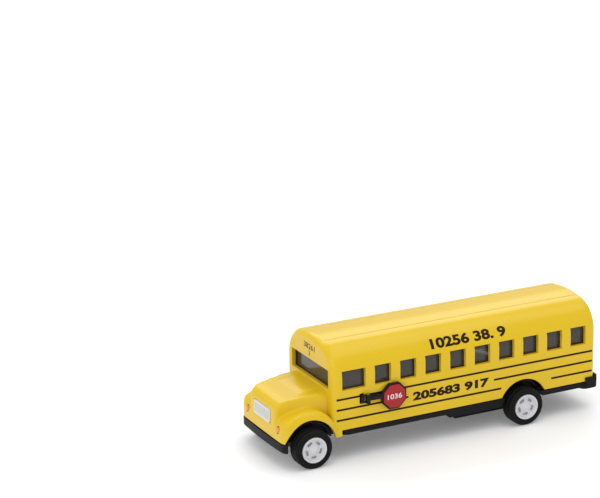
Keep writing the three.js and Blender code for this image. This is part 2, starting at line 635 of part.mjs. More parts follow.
// Motor case: inside space, then the two halves
const caseSpace = {
  x: [axle.x - pitchR(AXLE_TEETH) - MODULE - CASE_MARGIN, drum.x + pitchR(DRUM_TEETH) + MODULE + CASE_MARGIN],
  z: [axle.z - pitchR(AXLE_TEETH) - MODULE - 0.2, drum.z + pitchR(DRUM_TEETH) + MODULE + CASE_MARGIN],
};
const caseOutside = {
  x: [caseSpace.x[0] - CASE_WALL, caseSpace.x[1] + CASE_WALL],
  z: [caseSpace.z[0] - CASE_WALL, caseSpace.z[1] + CASE_WALL],
};
const motorWell = () =>
  block(
    [caseOutside.x[0] - GAP, caseOutside.x[1] + GAP],
    [-CASE_HALF - GAP, CASE_HALF + GAP],
    [0, ROOF_TOP],
  );

// Side outline of the case: low over the axle, tall over the drum
function caseOutline(grow) {
  const x0 = caseSpace.x[0] - grow;
  const x1 = caseSpace.x[1] + grow;
  const z0 = caseSpace.z[0] - grow;
  const z1 = caseSpace.z[1] + grow;
  const over = clutch.z + pitchR(CLUTCH_TEETH) + MODULE + CASE_MARGIN + grow;
  const s = new THREE.Shape();
  s.moveTo(x0, z0);
  s.lineTo(x1 - 5, z0);
  s.lineTo(x1, z0 + 4);
  s.lineTo(x1, z1 - 4);
  s.lineTo(x1 - 4, z1);
  s.lineTo(drum.x - 3, z1);
  s.lineTo(clutch.x - 2 - grow / 2, over);
  s.lineTo(clutch.x - pitchR(CLUTCH_TEETH) - 1.5 - grow, clutch.z + 2 + grow / 2);
  s.lineTo(x0, axle.z + pitchR(AXLE_TEETH) + 1.6 + grow);
  return s;
}

function motorCase(hand) {
  const outer = hand > 0 ? [GAP / 2, CASE_HALF] : [-CASE_HALF, -GAP / 2];
  const inner = hand > 0 ? [-1, CASE_HALF - CASE_WALL] : [CASE_WALL - CASE_HALF, 1];
  const body = side(caseOutline(CASE_WALL), outer[0], outer[1]);
  const ears = [
    block([caseOutside.x[0] - FLANGE_REACH, caseOutside.x[0] + 0.6], [outer[0], outer[1]].map((y) => y * 0.8), flangeZ()),
    block([caseOutside.x[1] - 0.6, caseOutside.x[1] + FLANGE_REACH], [outer[0], outer[1]].map((y) => y * 0.8), flangeZ()),
  ];
  const bores = [
    barY(axle.x, axle.z, AXLE_R + RUNNING, -CASE_HALF - 1, CASE_HALF + 1),
    clutchSlot(),
    barY(drum.x, drum.z, MOTOR_PIN_R + RUNNING, -CASE_HALF - 1, CASE_HALF + 1),
  ];
  return cut(join([body, ...ears]), [side(caseOutline(0), inner[0], inner[1]), ...bores]);
}

const flangeZ = () => [DECK_TOP + LIP + GAP, DECK_TOP + LIP + GAP + FLANGE];

// Slot that lets the clutch gear's pin back away from the axle gear when the spring has run down
function clutchSlot() {
  const r = MOTOR_PIN_R + RUNNING;
  const travel = 1.1;
  const away = polar(clutch, CLUTCH_BEARING + 75, travel);
  const y = [-CASE_HALF - 1, CASE_HALF + 1];
  const steps = 4;
  const bars = [];
  for (let i = 0; i <= steps; i += 1) {
    const t = i / steps;
    bars.push(barY(clutch.x + (away.x - clutch.x) * t, clutch.z + (away.z - clutch.z) * t, r, y[0], y[1], 12));
  }
  return join(bars);
}

// Gear outline: a trapezoid tooth with eased tips, one tooth centred on the starting angle
function gearShape(teeth, startAngle, boreR) {
  const pitch = pitchR(teeth);
  const tip = pitch + 0.85 * MODULE;
  const root = pitch - 1.15 * MODULE;
  const step = (2 * Math.PI) / teeth;
  const halfAt = { root: 0.34 * step, pitch: 0.2 * step, tip: 0.08 * step };
  const s = new THREE.Shape();
  for (let i = 0; i < teeth; i += 1) {
    const mid = startAngle + i * step;
    const corners = [
      [root, mid - halfAt.root],
      [pitch, mid - halfAt.pitch],
      [tip, mid - halfAt.tip],
      [tip, mid + halfAt.tip],
      [pitch, mid + halfAt.pitch],
      [root, mid + halfAt.root],
    ];
    corners.forEach(([r, angle], k) => {
      const point = [r * Math.cos(angle), r * Math.sin(angle)];
      if (i === 0 && k === 0) s.moveTo(...point);
      else s.lineTo(...point);
    });
  }
  s.closePath();
  s.holes.push(new THREE.Path().absarc(0, 0, boreR, 0, 2 * Math.PI, true));
  return s;
}

function gear(teeth, startAngle, boreR, y, place) {
  return side(gearShape(teeth, startAngle, boreR), y[0], y[1], 5).translate([place.x, 0, place.z]);
}

// A tooth of the driver points along the line of centres, and a gap of the driven wheel faces it
const rad = THREE.MathUtils.degToRad;
const facing = (bearing, teeth) => rad(bearing) + Math.PI + Math.PI / teeth;

const axleGear = () => gear(AXLE_TEETH, rad(CLUTCH_BEARING), AXLE_R + 0.1, GEAR_PLANE_A, axle);

// Both toothed wheels of the clutch gear are moulded in one: the pinion's phase is free, so a tooth of it
// points at the drum
function clutchGear() {
  const bore = MOTOR_PIN_R + RUNNING;
  const hub = barY(clutch.x, clutch.z, 2, GEAR_PLANE_B[1] - 0.2, GEAR_PLANE_A[0] + 0.2, 20);
  const hubBore = barY(clutch.x, clutch.z, bore, -CASE_HALF, CASE_HALF, 20);
  return cut(
    join([
      gear(CLUTCH_TEETH, facing(CLUTCH_BEARING, CLUTCH_TEETH), bore / 2, GEAR_PLANE_A, clutch),
      gear(CLUTCH_PINION_TEETH, rad(DRUM_BEARING), bore / 2, GEAR_PLANE_B, clutch),
      hub,
    ]),
    [hubBore],
  );
}

function springDrum() {
  const wheel = gear(DRUM_TEETH, facing(DRUM_BEARING, DRUM_TEETH), MOTOR_PIN_R + RUNNING, GEAR_PLANE_B, drum);
  const cupY = [GEAR_PLANE_B[0] - DRUM_CUP_DEPTH, GEAR_PLANE_B[0] + 0.2];
  const wall = cut(barY(drum.x, drum.z, DRUM_CUP_R, cupY[0], cupY[1], 32), [
    barY(drum.x, drum.z, DRUM_CUP_R - DRUM_CUP_WALL, cupY[0] - 1, cupY[1] + 1, 32),
  ]);
  return join([wheel, wall]);
}

// Mainspring: a flat strip wound in an even spiral from the pin out to the drum's wall
function mainspring() {
  const inner = SPRING_INNER_R;
  const outer = DRUM_CUP_R - DRUM_CUP_WALL - GAP - SPRING_STRIP;
  const pitch = (outer - inner) / SPRING_TURNS;
  const steps = SPRING_TURNS * 13;
  const edge = (offset) => {
    const points = [];
    for (let i = 0; i <= steps; i += 1) {
      const angle = (i / steps) * SPRING_TURNS * 2 * Math.PI;
      const r = inner + (pitch * angle) / (2 * Math.PI) + offset;
      points.push(new THREE.Vector2(r * Math.cos(angle), r * Math.sin(angle)));
    }
    return points;
  };
  const strip = new THREE.Shape([...edge(0), ...edge(SPRING_STRIP).reverse()]);
  console.log("mainspring: least gap between turns", (pitch - SPRING_STRIP).toFixed(2), "mm");
  const top = GEAR_PLANE_B[0] - GAP;
  return side(strip, top - SPRING_HEIGHT, top).translate([drum.x, 0, drum.z]);
}

const motorPin = (place) => barY(place.x, place.z, MOTOR_PIN_R, -CASE_HALF, CASE_HALF, 16);

// Wheels
function tyre(outerFace, hand) {
  const r = WHEEL_R;
  const w = TYRE_WIDTH;
  const profile = [
    [TYRE_BORE_R, 0],
    [r - 0.8, 0],
    [r, 0.8],
    [r, w - 0.9],
    [r - 0.2, w - 0.3],
    [r - 0.8, w],
    [TYRE_BORE_R, w],
    [TYRE_BORE_R, 0],
  ].map(([x, y]) => new THREE.Vector2(x, y));
  const g = new THREE.LatheGeometry(profile, 28);
  return solid(hand > 0 ? g.translate(0, outerFace - w, 0) : g.translate(0, -outerFace, 0));
}

// Rim: a lip, a dished web pierced by slots, and a hub bored for the axle from its inner side
function rim(hand) {
  const w = TYRE_WIDTH;
  const lip = 0.7;
  const dish = RIM_DISH;
  const profile = [
    [0, w - 4.4],
    [2.2, w - 4.4],
    [2.2, w - dish - 1],
    [RIM_R - lip, w - dish - 1],
    [RIM_R - lip, 0.4],
    [RIM_R, 0.4],
    [RIM_R, w + 0.25],
    [RIM_R - lip, w + 0.25],
    [RIM_R - lip - 0.3, w - dish],
    [1.9, w - dish],
    [1.5, w - dish + 0.45],
    [0, w - dish + 0.45],
  ].map(([x, y]) => new THREE.Vector2(x, y));
  const body = solid(new THREE.LatheGeometry(profile, 18));
  const bore = barY(0, 0, AXLE_R + 0.1, -1, AXLE_IN_RIM + 0.1, 16);
  const slots = [];
  for (let i = 0; i < RIM_SLOTS; i += 1) slots.push(rimSlot((i * 2 * Math.PI) / RIM_SLOTS + Math.PI / 2));
  const made = cut(body, [bore, ...slots]).translate([0, TYRE_INNER, 0]);
  return hand > 0 ? made : made.mirror([0, 1, 0]);
}

// One slot between the rim's spokes, bounded by two arcs
function rimSlot(angle) {
  const inner = 2.3;
  const outer = RIM_R - 1.25;
  const half = 0.36;
  const s = new THREE.Shape();
  s.absarc(0, 0, outer, angle - half, angle + half, false);
  s.absarc(0, 0, inner, angle + half * 0.8, angle - half * 0.8, true);
  return side(s, TYRE_WIDTH - RIM_DISH - RIM_POCKET, TYRE_WIDTH + 1, 3);
}

const axleBar = (x) => barY(x, WHEEL_R, AXLE_R, -AXLE_HALF, AXLE_HALF, 20);

// Fasteners: pan head, plain shank, crossed slot in the head
function screw(x) {
  const head = SKIRT_BOTTOM + SCREW_HEAD - GAP;
  const body = join([
    barZ(x, 0, SCREW_HEAD_R, head - SCREW_HEAD + 0.2, head, 18),
    barZ(x, 0, SCREW_R, head - 0.1, head + SCREW_LENGTH, 14),
  ]);
  const low = [head - SCREW_HEAD - 0.1, head - 0.5];
  return cut(body, [block([x - 1.2, x + 1.2], [-0.25, 0.25], low), block([x - 0.25, x + 0.25], [-1.2, 1.2], low)]);
}

// Stop arm: a bracket with two lugs on the body's left side, a pin, and an arm that carries the sign
const stopAxis = { x: STOP_HINGE_X, y: BODY_HALF + GAP + STOP_BARREL_R };

function stopBracket() {
  const z = [STOP_ARM_Z - STOP_ARM_HEIGHT / 2 - STOP_LUG, STOP_ARM_Z + STOP_ARM_HEIGHT / 2 + STOP_LUG];
  const lug = (from, to) =>
    join([
      block([stopAxis.x - 0.9, stopAxis.x + 0.9], [BODY_HALF + GAP, stopAxis.y], [from, to]),
      barZ(stopAxis.x, stopAxis.y, 0.9, from, to),
    ]);
  const plate = block([stopAxis.x + 1.3, stopAxis.x + 2.3], [BODY_HALF - WALL / 2, BODY_HALF + 0.9], z);
  const arms = [
    block([stopAxis.x, stopAxis.x + 2], [BODY_HALF + GAP, BODY_HALF + 0.9], [z[0], z[0] + STOP_LUG - 0.1]),
    block([stopAxis.x, stopAxis.x + 2], [BODY_HALF + GAP, BODY_HALF + 0.9], [z[1] - STOP_LUG + 0.1, z[1]]),
  ];
  const lugs = [lug(z[0], z[0] + STOP_LUG - 0.1), lug(z[1] - STOP_LUG + 0.1, z[1])];
  return cut(join([plate, ...arms, ...lugs]), [barZ(stopAxis.x, stopAxis.y, STOP_PIN_R + 0.1, z[0] - 1, z[1] + 1)]);
}

// Slot in the body's side for the bracket's foot
const stopBracketSeat = () => [
  block(
    [stopAxis.x + 1.3 - GAP, stopAxis.x + 2.3 + GAP],
    [BODY_HALF - WALL / 2 - GAP, BODY_HALF + 1],
    [STOP_ARM_Z - STOP_ARM_HEIGHT / 2 - STOP_LUG - GAP, STOP_ARM_Z + STOP_ARM_HEIGHT / 2 + STOP_LUG + GAP],
  ),
];

const stopPin = () => {
  const reach = STOP_ARM_HEIGHT / 2 + STOP_LUG;
  return barZ(stopAxis.x, stopAxis.y, STOP_PIN_R, STOP_ARM_Z - reach, STOP_ARM_Z + reach, 12);
};

function octagon(flats) {
  const r = flats / 2 / Math.cos(Math.PI / 8);
  const s = new THREE.Shape();
  for (let i = 0; i < 8; i += 1) {
    const angle = Math.PI / 8 + (i * Math.PI) / 4;
    const point = [STOP_SIGN_X + r * Math.cos(angle), STOP_Z + r * Math.sin(angle)];
    if (i === 0) s.moveTo(...point);
    else s.lineTo(...point);
  }
  return s;
}

const stopBack = BODY_HALF + GAP + 0.2;

function stopArm() {
  const z = [STOP_ARM_Z - STOP_ARM_HEIGHT / 2 + 0.1, STOP_ARM_Z + STOP_ARM_HEIGHT / 2 - 0.1];
  const bar = block([STOP_SIGN_X, stopAxis.x], [stopBack, stopBack + STOP_PLATE], z);
  const rib = block([STOP_SIGN_X + STOP_SIGN_FLATS / 2, stopAxis.x], [stopBack, stopBack + STOP_PLATE + 0.25], [z[0] + 0.5, z[1] - 0.5]);
  const barrel = barZ(stopAxis.x, stopAxis.y, STOP_BARREL_R, z[0], z[1]);
  const plate = side(octagon(STOP_SIGN_FLATS), stopBack, stopBack + STOP_PLATE);
  return cut(join([bar, rib, barrel, plate]), [barZ(stopAxis.x, stopAxis.y, STOP_PIN_R + 0.2, z[0] - 1, z[1] + 1)]);
}

const stopFace = () => {
  const from = stopBack + STOP_PLATE + 0.05;
  return side(octagon(STOP_SIGN_FLATS - 1.3), from, from + STOP_FACE);
};

// The assembly
const bus = new THREE.Group();

function add(name, body, material, parent = bus) {
  const mesh = new THREE.Mesh(geometryOf(body), material);
  mesh.name = name;
  parent.add(mesh);
  return mesh;
}

add("body_shell", bodyShell(), YELLOW);
add("window_glazing", windowGlazing(), SMOKE);
add("chassis", chassis(), BLACK);
add("grille", grille(), SILVER);
add("lamp_left", lamp(LAMP_Y), AMBER);
add("lamp_right", lamp(-LAMP_Y), AMBER);
add("front_screw", screw(POSTS_X[0]), STEEL);
add("rear_screw", screw(POSTS_X[1]), STEEL);

add("service_door", serviceDoor(), YELLOW);
add("door_upper_pane", doorPane([WINDOW_BOTTOM, WINDOW_TOP - 0.6]), SMOKE);
add("door_lower_pane", doorPane([BODY_BOTTOM + 5.6, WINDOW_BOTTOM - 1.6]), SMOKE);

add("stop_bracket", stopBracket(), BLACK);
add("stop_pin", stopPin(), STEEL);
add("stop_arm", stopArm(), BLACK);
add("stop_sign_face", stopFace(), RED);

for (const [end, x] of [["front", FRONT_AXLE_X], ["rear", REAR_AXLE_X]]) {
  add(`${end}_axle`, axleBar(x), STEEL);
  for (const [label, hand] of [["left", 1], ["right", -1]]) {
    const wheel = new THREE.Group();
    wheel.position.set(x, 0, WHEEL_R);
    bus.add(wheel);
    add(`${end}_${label}_rim`, rim(hand), WHITE, wheel);
    add(`${end}_${label}_tyre`, tyre(WHEEL_OUTER, hand), RUBBER, wheel);
  }
}

add("motor_case_left", motorCase(1), NATURAL);
add("motor_case_right", motorCase(-1), NATURAL);
add("axle_gear", axleGear(), NATURAL);
add("clutch_gear", clutchGear(), NATURAL);
add("clutch_pin", motorPin(clutch), STEEL);
add("spring_drum", springDrum(), NATURAL);
add("drum_pin", motorPin(drum), STEEL);
add("mainspring", mainspring(), SPRING_STEEL);

export default bus;
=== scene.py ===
# %% [markdown]
# # A toy school bus, dressed on its CAD frame
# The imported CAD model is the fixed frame: it says where every piece is and how it moves. This lesson adds the
# looks. Most moulded pieces keep their CAD shape but get eased edges and smooth shading. The body shell and
# the wheels are made again with many more steps, and the printed lines and numbers are laid on as thin films.
# Blender works in metres. Sizes are written in millimetres and multiplied by MM.

# %% Load the frame
import json
import math

import bmesh
import bpy
from mathutils import Matrix, Vector


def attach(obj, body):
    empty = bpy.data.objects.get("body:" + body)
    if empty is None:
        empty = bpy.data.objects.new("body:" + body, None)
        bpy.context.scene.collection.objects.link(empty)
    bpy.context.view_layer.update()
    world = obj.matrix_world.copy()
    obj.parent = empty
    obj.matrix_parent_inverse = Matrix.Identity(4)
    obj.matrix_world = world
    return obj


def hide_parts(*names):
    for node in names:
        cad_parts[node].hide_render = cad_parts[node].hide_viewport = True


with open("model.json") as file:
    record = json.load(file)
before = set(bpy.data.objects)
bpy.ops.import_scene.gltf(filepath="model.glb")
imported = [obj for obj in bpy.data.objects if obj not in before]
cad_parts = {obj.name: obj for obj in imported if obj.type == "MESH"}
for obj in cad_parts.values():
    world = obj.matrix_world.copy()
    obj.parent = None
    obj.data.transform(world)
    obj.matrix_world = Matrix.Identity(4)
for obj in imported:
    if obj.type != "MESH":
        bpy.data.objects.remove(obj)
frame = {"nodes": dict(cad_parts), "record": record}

MM = 0.001
scene = bpy.context.scene
nodes = frame["nodes"]
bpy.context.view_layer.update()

# %% [markdown]
# ## Camera
# The photograph looks down on the bus from its left front with a long lens. The camera's place and turn were
# worked out from the bus's own straight edges: azimuth 153.8, elevation 17.4, a roll of about one degree.
# A matrix built from the three viewing directions sets all of that in one go.

# %% Camera
AIM = Vector((45.52, -4.295, 71.703)) * MM
AZIMUTH, ELEVATION, ROLL = (math.radians(v) for v in (153.810, 17.358, -0.977))
DISTANCE = 807.448 * MM
FOCAL_PIXELS = 2336.191
PHOTO_WIDTH = 600
SENSOR_WIDTH = 36.0
NEAREST = 10 * MM

back = Vector((
    math.sin(AZIMUTH) * math.cos(ELEVATION),
    -math.cos(AZIMUTH) * math.cos(ELEVATION),
    math.sin(ELEVATION),
))
level = Vector((0, 0, 1)).cross(back).normalized()
upward = back.cross(level)
right = level * math.cos(ROLL) + upward * math.sin(ROLL)
up = upward * math.cos(ROLL) - level * math.sin(ROLL)

lens = bpy.data.cameras.new("photo_camera")
lens.sensor_width = SENSOR_WIDTH
lens.sensor_fit = "HORIZONTAL"
lens.lens = FOCAL_PIXELS / PHOTO_WIDTH * SENSOR_WIDTH
lens.clip_start = NEAREST
camera = bpy.data.objects.new("photo_camera", lens)
camera.matrix_world = Matrix((right, up, back)).transposed().to_4x4()
camera.location = AIM + back * DISTANCE
scene.collection.objects.link(camera)
scene.camera = camera
print("camera at mm:", [round(v / MM, 1) for v in camera.location], "lens", round(lens.lens, 1))

# %% [markdown]
# ## Finishes
# A toy like this is moulded in coloured plastic and printed. Each finish is a Principled shader whose colour
# drifts a little with broad noise, whose gloss drifts with finer noise, and whose surface has the faint
# ripple of a moulding. All patterns read Object coordinates, so they stay on the piece when it moves.

# %% A helper for moulded and printed finishes
BROAD_SCALE, BROAD_DETAIL, FINE_DETAIL = 45.0, 3.0, 2.0
TINT_STOPS = (0.3, 0.7)
RIPPLE_DEPTH = 0.5 * MM


def finish(name, colour, drift=0.04, rough=0.3, rough_drift=0.05, ripple=0.02, grain=900.0, **sockets):
    """A Principled material. Further keywords set its other inputs, with _ for a space."""
    material = bpy.data.materials.new(name)
    material.use_nodes = True
    tree = material.node_tree
    shader = tree.nodes["Principled BSDF"]
    place = tree.nodes.new("ShaderNodeTexCoord")
    broad = tree.nodes.new("ShaderNodeTexNoise")
    broad.inputs["Scale"].default_value = BROAD_SCALE
    broad.inputs["Detail"].default_value = BROAD_DETAIL
    fine = tree.nodes.new("ShaderNodeTexNoise")
    fine.inputs["Scale"].default_value = grain
    fine.inputs["Detail"].default_value = FINE_DETAIL
    tint = tree.nodes.new("ShaderNodeValToRGB")
    darker = [c * (1 - drift) for c in colour]
    lighter = [min(1, c * (1 + drift)) for c in colour]
    for stop, position, shade in zip(tint.color_ramp.elements, TINT_STOPS, (darker, lighter)):
        stop.position = position
        stop.color = (*shade, 1)
    gloss = tree.nodes.new("ShaderNodeMapRange")
    gloss.inputs["To Min"].default_value = max(0, rough - rough_drift)
    gloss.inputs["To Max"].default_value = rough + rough_drift
    bump = tree.nodes.new("ShaderNodeBump")
    bump.inputs["Strength"].default_value = ripple
    bump.inputs["Distance"].default_value = RIPPLE_DEPTH
    link = tree.links.new
    link(place.outputs["Object"], broad.inputs["Vector"])
    link(place.outputs["Object"], fine.inputs["Vector"])
    link(broad.outputs["Fac"], tint.inputs["Fac"])
    link(tint.outputs["Color"], shader.inputs["Base Color"])
    link(fine.outputs["Fac"], gloss.inputs["Value"])
    link(gloss.outputs["Result"], shader.inputs["Roughness"])
    link(fine.outputs["Fac"], bump.inputs["Height"])
    link(bump.outputs["Normal"], shader.inputs["Normal"])
    for socket, value in sockets.items():
        shader.inputs[socket.replace("_", " ")].default_value = value
    return material

# %% The bus's finishes
yellow_plastic = finish(
    "yellow_plastic", (0.72, 0.485, 0.012), drift=0.015, rough=0.24, rough_drift=0.02, ripple=0.006,
    Specular_IOR_Level=0.26, Coat_Weight=0.05, Coat_Roughness=0.1,
)
black_plastic = finish(
    "black_plastic", (0.006, 0.006, 0.007), drift=0.15, rough=0.5, ripple=0.08, grain=2200.0,
    Specular_IOR_Level=0.14,
)
gloss_black = finish("gloss_black", (0.007, 0.006, 0.006), drift=0.1, rough=0.34, Specular_IOR_Level=0.2)
rim_plastic = finish(
    "rim_plastic", (0.60, 0.60, 0.62), drift=0.03, rough=0.32, Coat_Weight=0.2, Coat_Roughness=0.15,
)
tyre_rubber = finish(
    "tyre_rubber", (0.006, 0.006, 0.006), drift=0.2, rough=0.62, ripple=0.12, grain=1800.0,
    Specular_IOR_Level=0.12,
)
smoked_plastic = finish(
    "smoked_plastic", (0.16, 0.14, 0.115), drift=0.05, rough=0.08, rough_drift=0.03, ripple=0.01,
    Transmission_Weight=0.75, IOR=1.45,
)
silver_paint = finish("silver_paint", (0.64, 0.64, 0.61), drift=0.04, rough=0.36)
amber_plastic = finish("amber_plastic", (0.74, 0.28, 0.025), drift=0.05, rough=0.15, Coat_Weight=0.3)
sign_red = finish("sign_red", (0.37, 0.012, 0.018), drift=0.05, rough=0.34, Specular_IOR_Level=0.3)
print_white = finish("print_white", (0.85, 0.85, 0.85), drift=0.02, rough=0.4)
print_black = finish("print_black", (0.022, 0.011, 0.004), drift=0.1, rough=0.5, Specular_IOR_Level=0.12)
steel_wire = finish("steel_wire", (0.58, 0.59, 0.60), drift=0.05, rough=0.28, Metallic=1.0)
spring_strip = finish("spring_strip", (0.30, 0.33, 0.38), drift=0.08, rough=0.3, Metallic=1.0)
natural_plastic = finish("natural_plastic", (0.80, 0.78, 0.72), drift=0.03, rough=0.45, ripple=0.05)
print("finishes:", len(bpy.data.materials))

# %% [markdown]
# ## Moulded pieces
# The CAD solids are right in shape, but a moulding has no knife edges. A copy of each CAD mesh is merged into
# one skin, its flat faces are joined, and a Bevel modifier eases every edge sharper than 35 degrees that has
# room for it. Weighted normals then keep the flat faces flat while the rounded ones shade smoothly. The CAD
# mesh itself is untouched.

# %% Ease the edges of an object
SHARP = math.radians(35)
GRAZING = math.radians(25)
COPLANAR = math.radians(0.05)
WELD = 0.02 * MM
ROOM = 2.4
EASE_STEPS = 2
NORMAL_WEIGHT = 80


def bake(obj, name):
    """The evaluated object as a plain mesh object at the origin."""
    bpy.context.view_layer.update()
    mesh = bpy.data.meshes.new_from_object(obj.evaluated_get(bpy.context.evaluated_depsgraph_get()))
    bpy.data.objects.remove(obj)
    mesh.name = name
    made = bpy.data.objects.new(name, mesh)
    scene.collection.objects.link(made)
    return made


def grazed(edge):
    """True if another edge leaves one of its ends nearly along it, so that a bevel would run on."""
    for vertex in edge.verts:
        along = edge.other_vert(vertex).co - vertex.co
        others = [other.other_vert(vertex).co - vertex.co for other in vertex.link_edges if other != edge]
        if any(along.angle(other, math.pi) < GRAZING for other in others):
            return True
    return False


def mark_edges(skin, width):
    """Gives a bevel weight to the sharp edges with room for one, and keeps the other sharp edges crisp."""
    weight = skin.edges.layers.float.new("bevel_weight_edge")
    roomy = {v for v in skin.verts if all(e.calc_length() > ROOM * width for e in v.link_edges)}
    for edge in skin.edges:
        if edge.calc_face_angle(0) < SHARP:
            continue
        if width and edge.verts[0] in roomy and edge.verts[1] in roomy and not grazed(edge):
            edge[weight] = 1
        else:
            edge.smooth = False


def eased(obj, name, material, round_mm, dense=None):
    """The object with rounded edges and one finish. Where dense(place) is true, faces aren't joined."""
    mesh = obj.data
    skin = bmesh.new()
    skin.from_mesh(mesh)
    bmesh.ops.remove_doubles(skin, verts=skin.verts, dist=WELD)
    bmesh.ops.dissolve_degenerate(skin, dist=WELD, edges=skin.edges)
    flat = {v for v in skin.verts if dense is None or not dense(v.co)}
    inner = [e for e in skin.edges if e.verts[0] in flat and e.verts[1] in flat]
    bmesh.ops.dissolve_limit(skin, angle_limit=COPLANAR, verts=list(flat), edges=inner)
    for face in skin.faces:
        face.smooth = True
    mark_edges(skin, round_mm * MM)
    skin.to_mesh(mesh)
    skin.free()
    mesh.materials.clear()
    mesh.materials.append(material)
    if round_mm:
        ease = obj.modifiers.new("ease", "BEVEL")
        ease.width = round_mm * MM
        ease.segments = EASE_STEPS
        ease.limit_method = "WEIGHT"
        ease.use_clamp_overlap = False
        ease.miter_outer = "MITER_ARC"
    weigh = obj.modifiers.new("weigh", "WEIGHTED_NORMAL")
    weigh.keep_sharp = True
    weigh.weight = NORMAL_WEIGHT
    return bake(obj, name)


def rough_copy(node):
    obj = bpy.data.objects.new(node + "_rough", nodes[node].data.copy())
    scene.collection.objects.link(obj)
    return obj

# %% Dress the moulded pieces: finish, slot and rounding in mm
MOULDED = {
    "service_door": (yellow_plastic, "body_yellow", 0.12),
    "door_upper_pane": (smoked_plastic, "glazing_smoke", 0),
    "door_lower_pane": (smoked_plastic, "glazing_smoke", 0),
    "chassis": (black_plastic, "base_black", 0.16),
    "lamp_left": (amber_plastic, "lamp_amber", 0.06),
    "lamp_right": (amber_plastic, "lamp_amber", 0.06),
    "stop_bracket": (gloss_black, "sign_black", 0.08),
    "stop_arm": (gloss_black, "sign_black", 0.1),
    "stop_sign_face": (sign_red, "sign_red", 0.05),
    "front_screw": (steel_wire, "screw_zinc", 0.06),
    "rear_screw": (steel_wire, "screw_zinc", 0.06),
    # The motor cases take the base's black. This is partly painted shade: the black keeps the strip seen under
    # the skirt as dark as the shade there.
    "motor_case_left": (black_plastic, "base_black", 0.12),
    "motor_case_right": (black_plastic, "base_black", 0.12),
}
bodies = frame["record"]["behaviour"]["bodies"]
body_of = {node: body for body, members in bodies.items() for node in members}

for node, (material, slot, round_mm) in MOULDED.items():
    piece = eased(rough_copy(node), node + "_moulded", material, round_mm)
    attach(piece, body_of[node])
    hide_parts(node)
    print(piece.name, "faces", len(piece.data.polygons))

# %% Plain finishes on the hidden CAD nodes
HIDDEN = {
    "front_axle": steel_wire, "rear_axle": steel_wire, "stop_pin": steel_wire, "clutch_pin": steel_wire,
    "drum_pin": steel_wire, "axle_gear": natural_plastic, "clutch_gear": natural_plastic,
    "spring_drum": natural_plastic, "mainspring": spring_strip,
}
for node, material in HIDDEN.items():
    nodes[node].data.materials.clear()
    nodes[node].data.materials.append(material)
print("CAD nodes kept:", sorted(HIDDEN))

# %% [markdown]
# ## Body shell
# The shell is the toy's main shape, and the CAD facets are too coarse for its soft nose. It is made again,
# finer. The cab is a skin through many copies of one section. The nose is the overlap of a plan, a side view
# and a front view; a Remesh modifier gives it an even skin and a Smooth modifier lets bonnet and wings run
# into each other. Boolean modifiers then join the two and cut the hollow and the openings.

# %% Sizes of the shell in mm: the cab as in the CAD model, the nose a little closer to the photo
BODY_HALF, BODY_REAR, CAB_FRONT, NOSE_FRONT = 18.0, -62.6, 44.7, 63.7
WALL, END_R, SHOULDER_R, CROWN = 1.6, 2.4, 11.0, 0.6
GUTTER_Y, GUTTER_Z = 7.0, 41.1
SHOULDER_Z = GUTTER_Z - SHOULDER_R
NOSE_BACK = CAB_FRONT - END_R
FOOT, HOLLOW_FOOT = 6.0, 4.0
PAST_SIDE, PAST_WING, PAST_REAR, PAST_NOSE, PAST_FRONT = 19.0, 20.0, -64.0, 65.0, 66.0
AXLES = {"front": 53.2, "rear": -32.0}
AXLE_Z = 7.0

# %% Outlines
def quarter_turn(steps):
    return [math.pi / 2 * k / steps for k in range(steps + 1)]


def bend(start, control, end, steps=10):
    """Points of a quadratic curve after its start."""
    made = []
    for k in range(1, steps + 1):
        t = k / steps
        pull = (1 - t) ** 2, 2 * t * (1 - t), t * t
        made.append(tuple(pull[0] * a + pull[1] * b + pull[2] * c for a, b, c in zip(start, control, end)))
    return made


def circle(middle, radius, steps):
    turn = [2 * math.pi * k / steps for k in range(steps)]
    return [(middle[0] + radius * math.cos(a), middle[1] + radius * math.sin(a)) for a in turn]


def mirrored(points):
    """An outline's half with y above 0, then the same points on the other side in reverse."""
    return points + [(x, -y) for x, y in reversed(points)]

# %% Solids
LIFT = {
    "Z": lambda u, v, w: (u, v, w),
    "Y": lambda u, v, w: (u, w, v),
    "X": lambda u, v, w: (w, u, v),
}


def place_mesh(name, skin):
    bmesh.ops.recalc_face_normals(skin, faces=skin.faces)
    mesh = bpy.data.meshes.new(name)
    skin.to_mesh(mesh)
    skin.free()
    obj = bpy.data.objects.new(name, mesh)
    scene.collection.objects.link(obj)
    return obj


def skin_through(name, rings):
    """A closed skin through rings of points in mm that all have the same count."""
    skin = bmesh.new()
    made = [[skin.verts.new(Vector(p) * MM) for p in ring] for ring in rings]
    for one, two in zip(made, made[1:]):
        for i in range(len(one)):
            j = (i + 1) % len(one)
            skin.faces.new((one[i], one[j], two[j], two[i]))
    skin.faces.new(made[0])
    skin.faces.new(made[-1])
    return place_mesh(name, skin)


def prism(name, outline, axis, low, high):
    """An outline drawn along one axis: (x, y) along Z, (x, z) along Y, or (y, z) along X."""
    return skin_through(name, [[LIFT[axis](u, v, w) for u, v in outline] for w in (low, high)])


def block(name, x, y, z):
    return prism(name, [(x[0], y[0]), (x[1], y[0]), (x[1], y[1]), (x[0], y[1])], "Z", *z)


def rod(name, axis, middle, radius, span, steps):
    return prism(name, circle(middle, radius, steps), axis, *span)


def carve(base, operation, tools, name):
    """The base with every tool joined to it, cut from it or crossed with it."""
    for tool in tools:
        step = base.modifiers.new(tool.name, "BOOLEAN")
        step.operation = operation
        step.object = tool
        step.solver = "EXACT"
    made = bake(base, name)
    for tool in tools:
        bpy.data.objects.remove(tool)
    return made

# %% The cab's section, run from end to end and drawn in at both ends
SHOULDER_STEPS, CROWN_STEPS, END_STEPS = 18, 6, 8


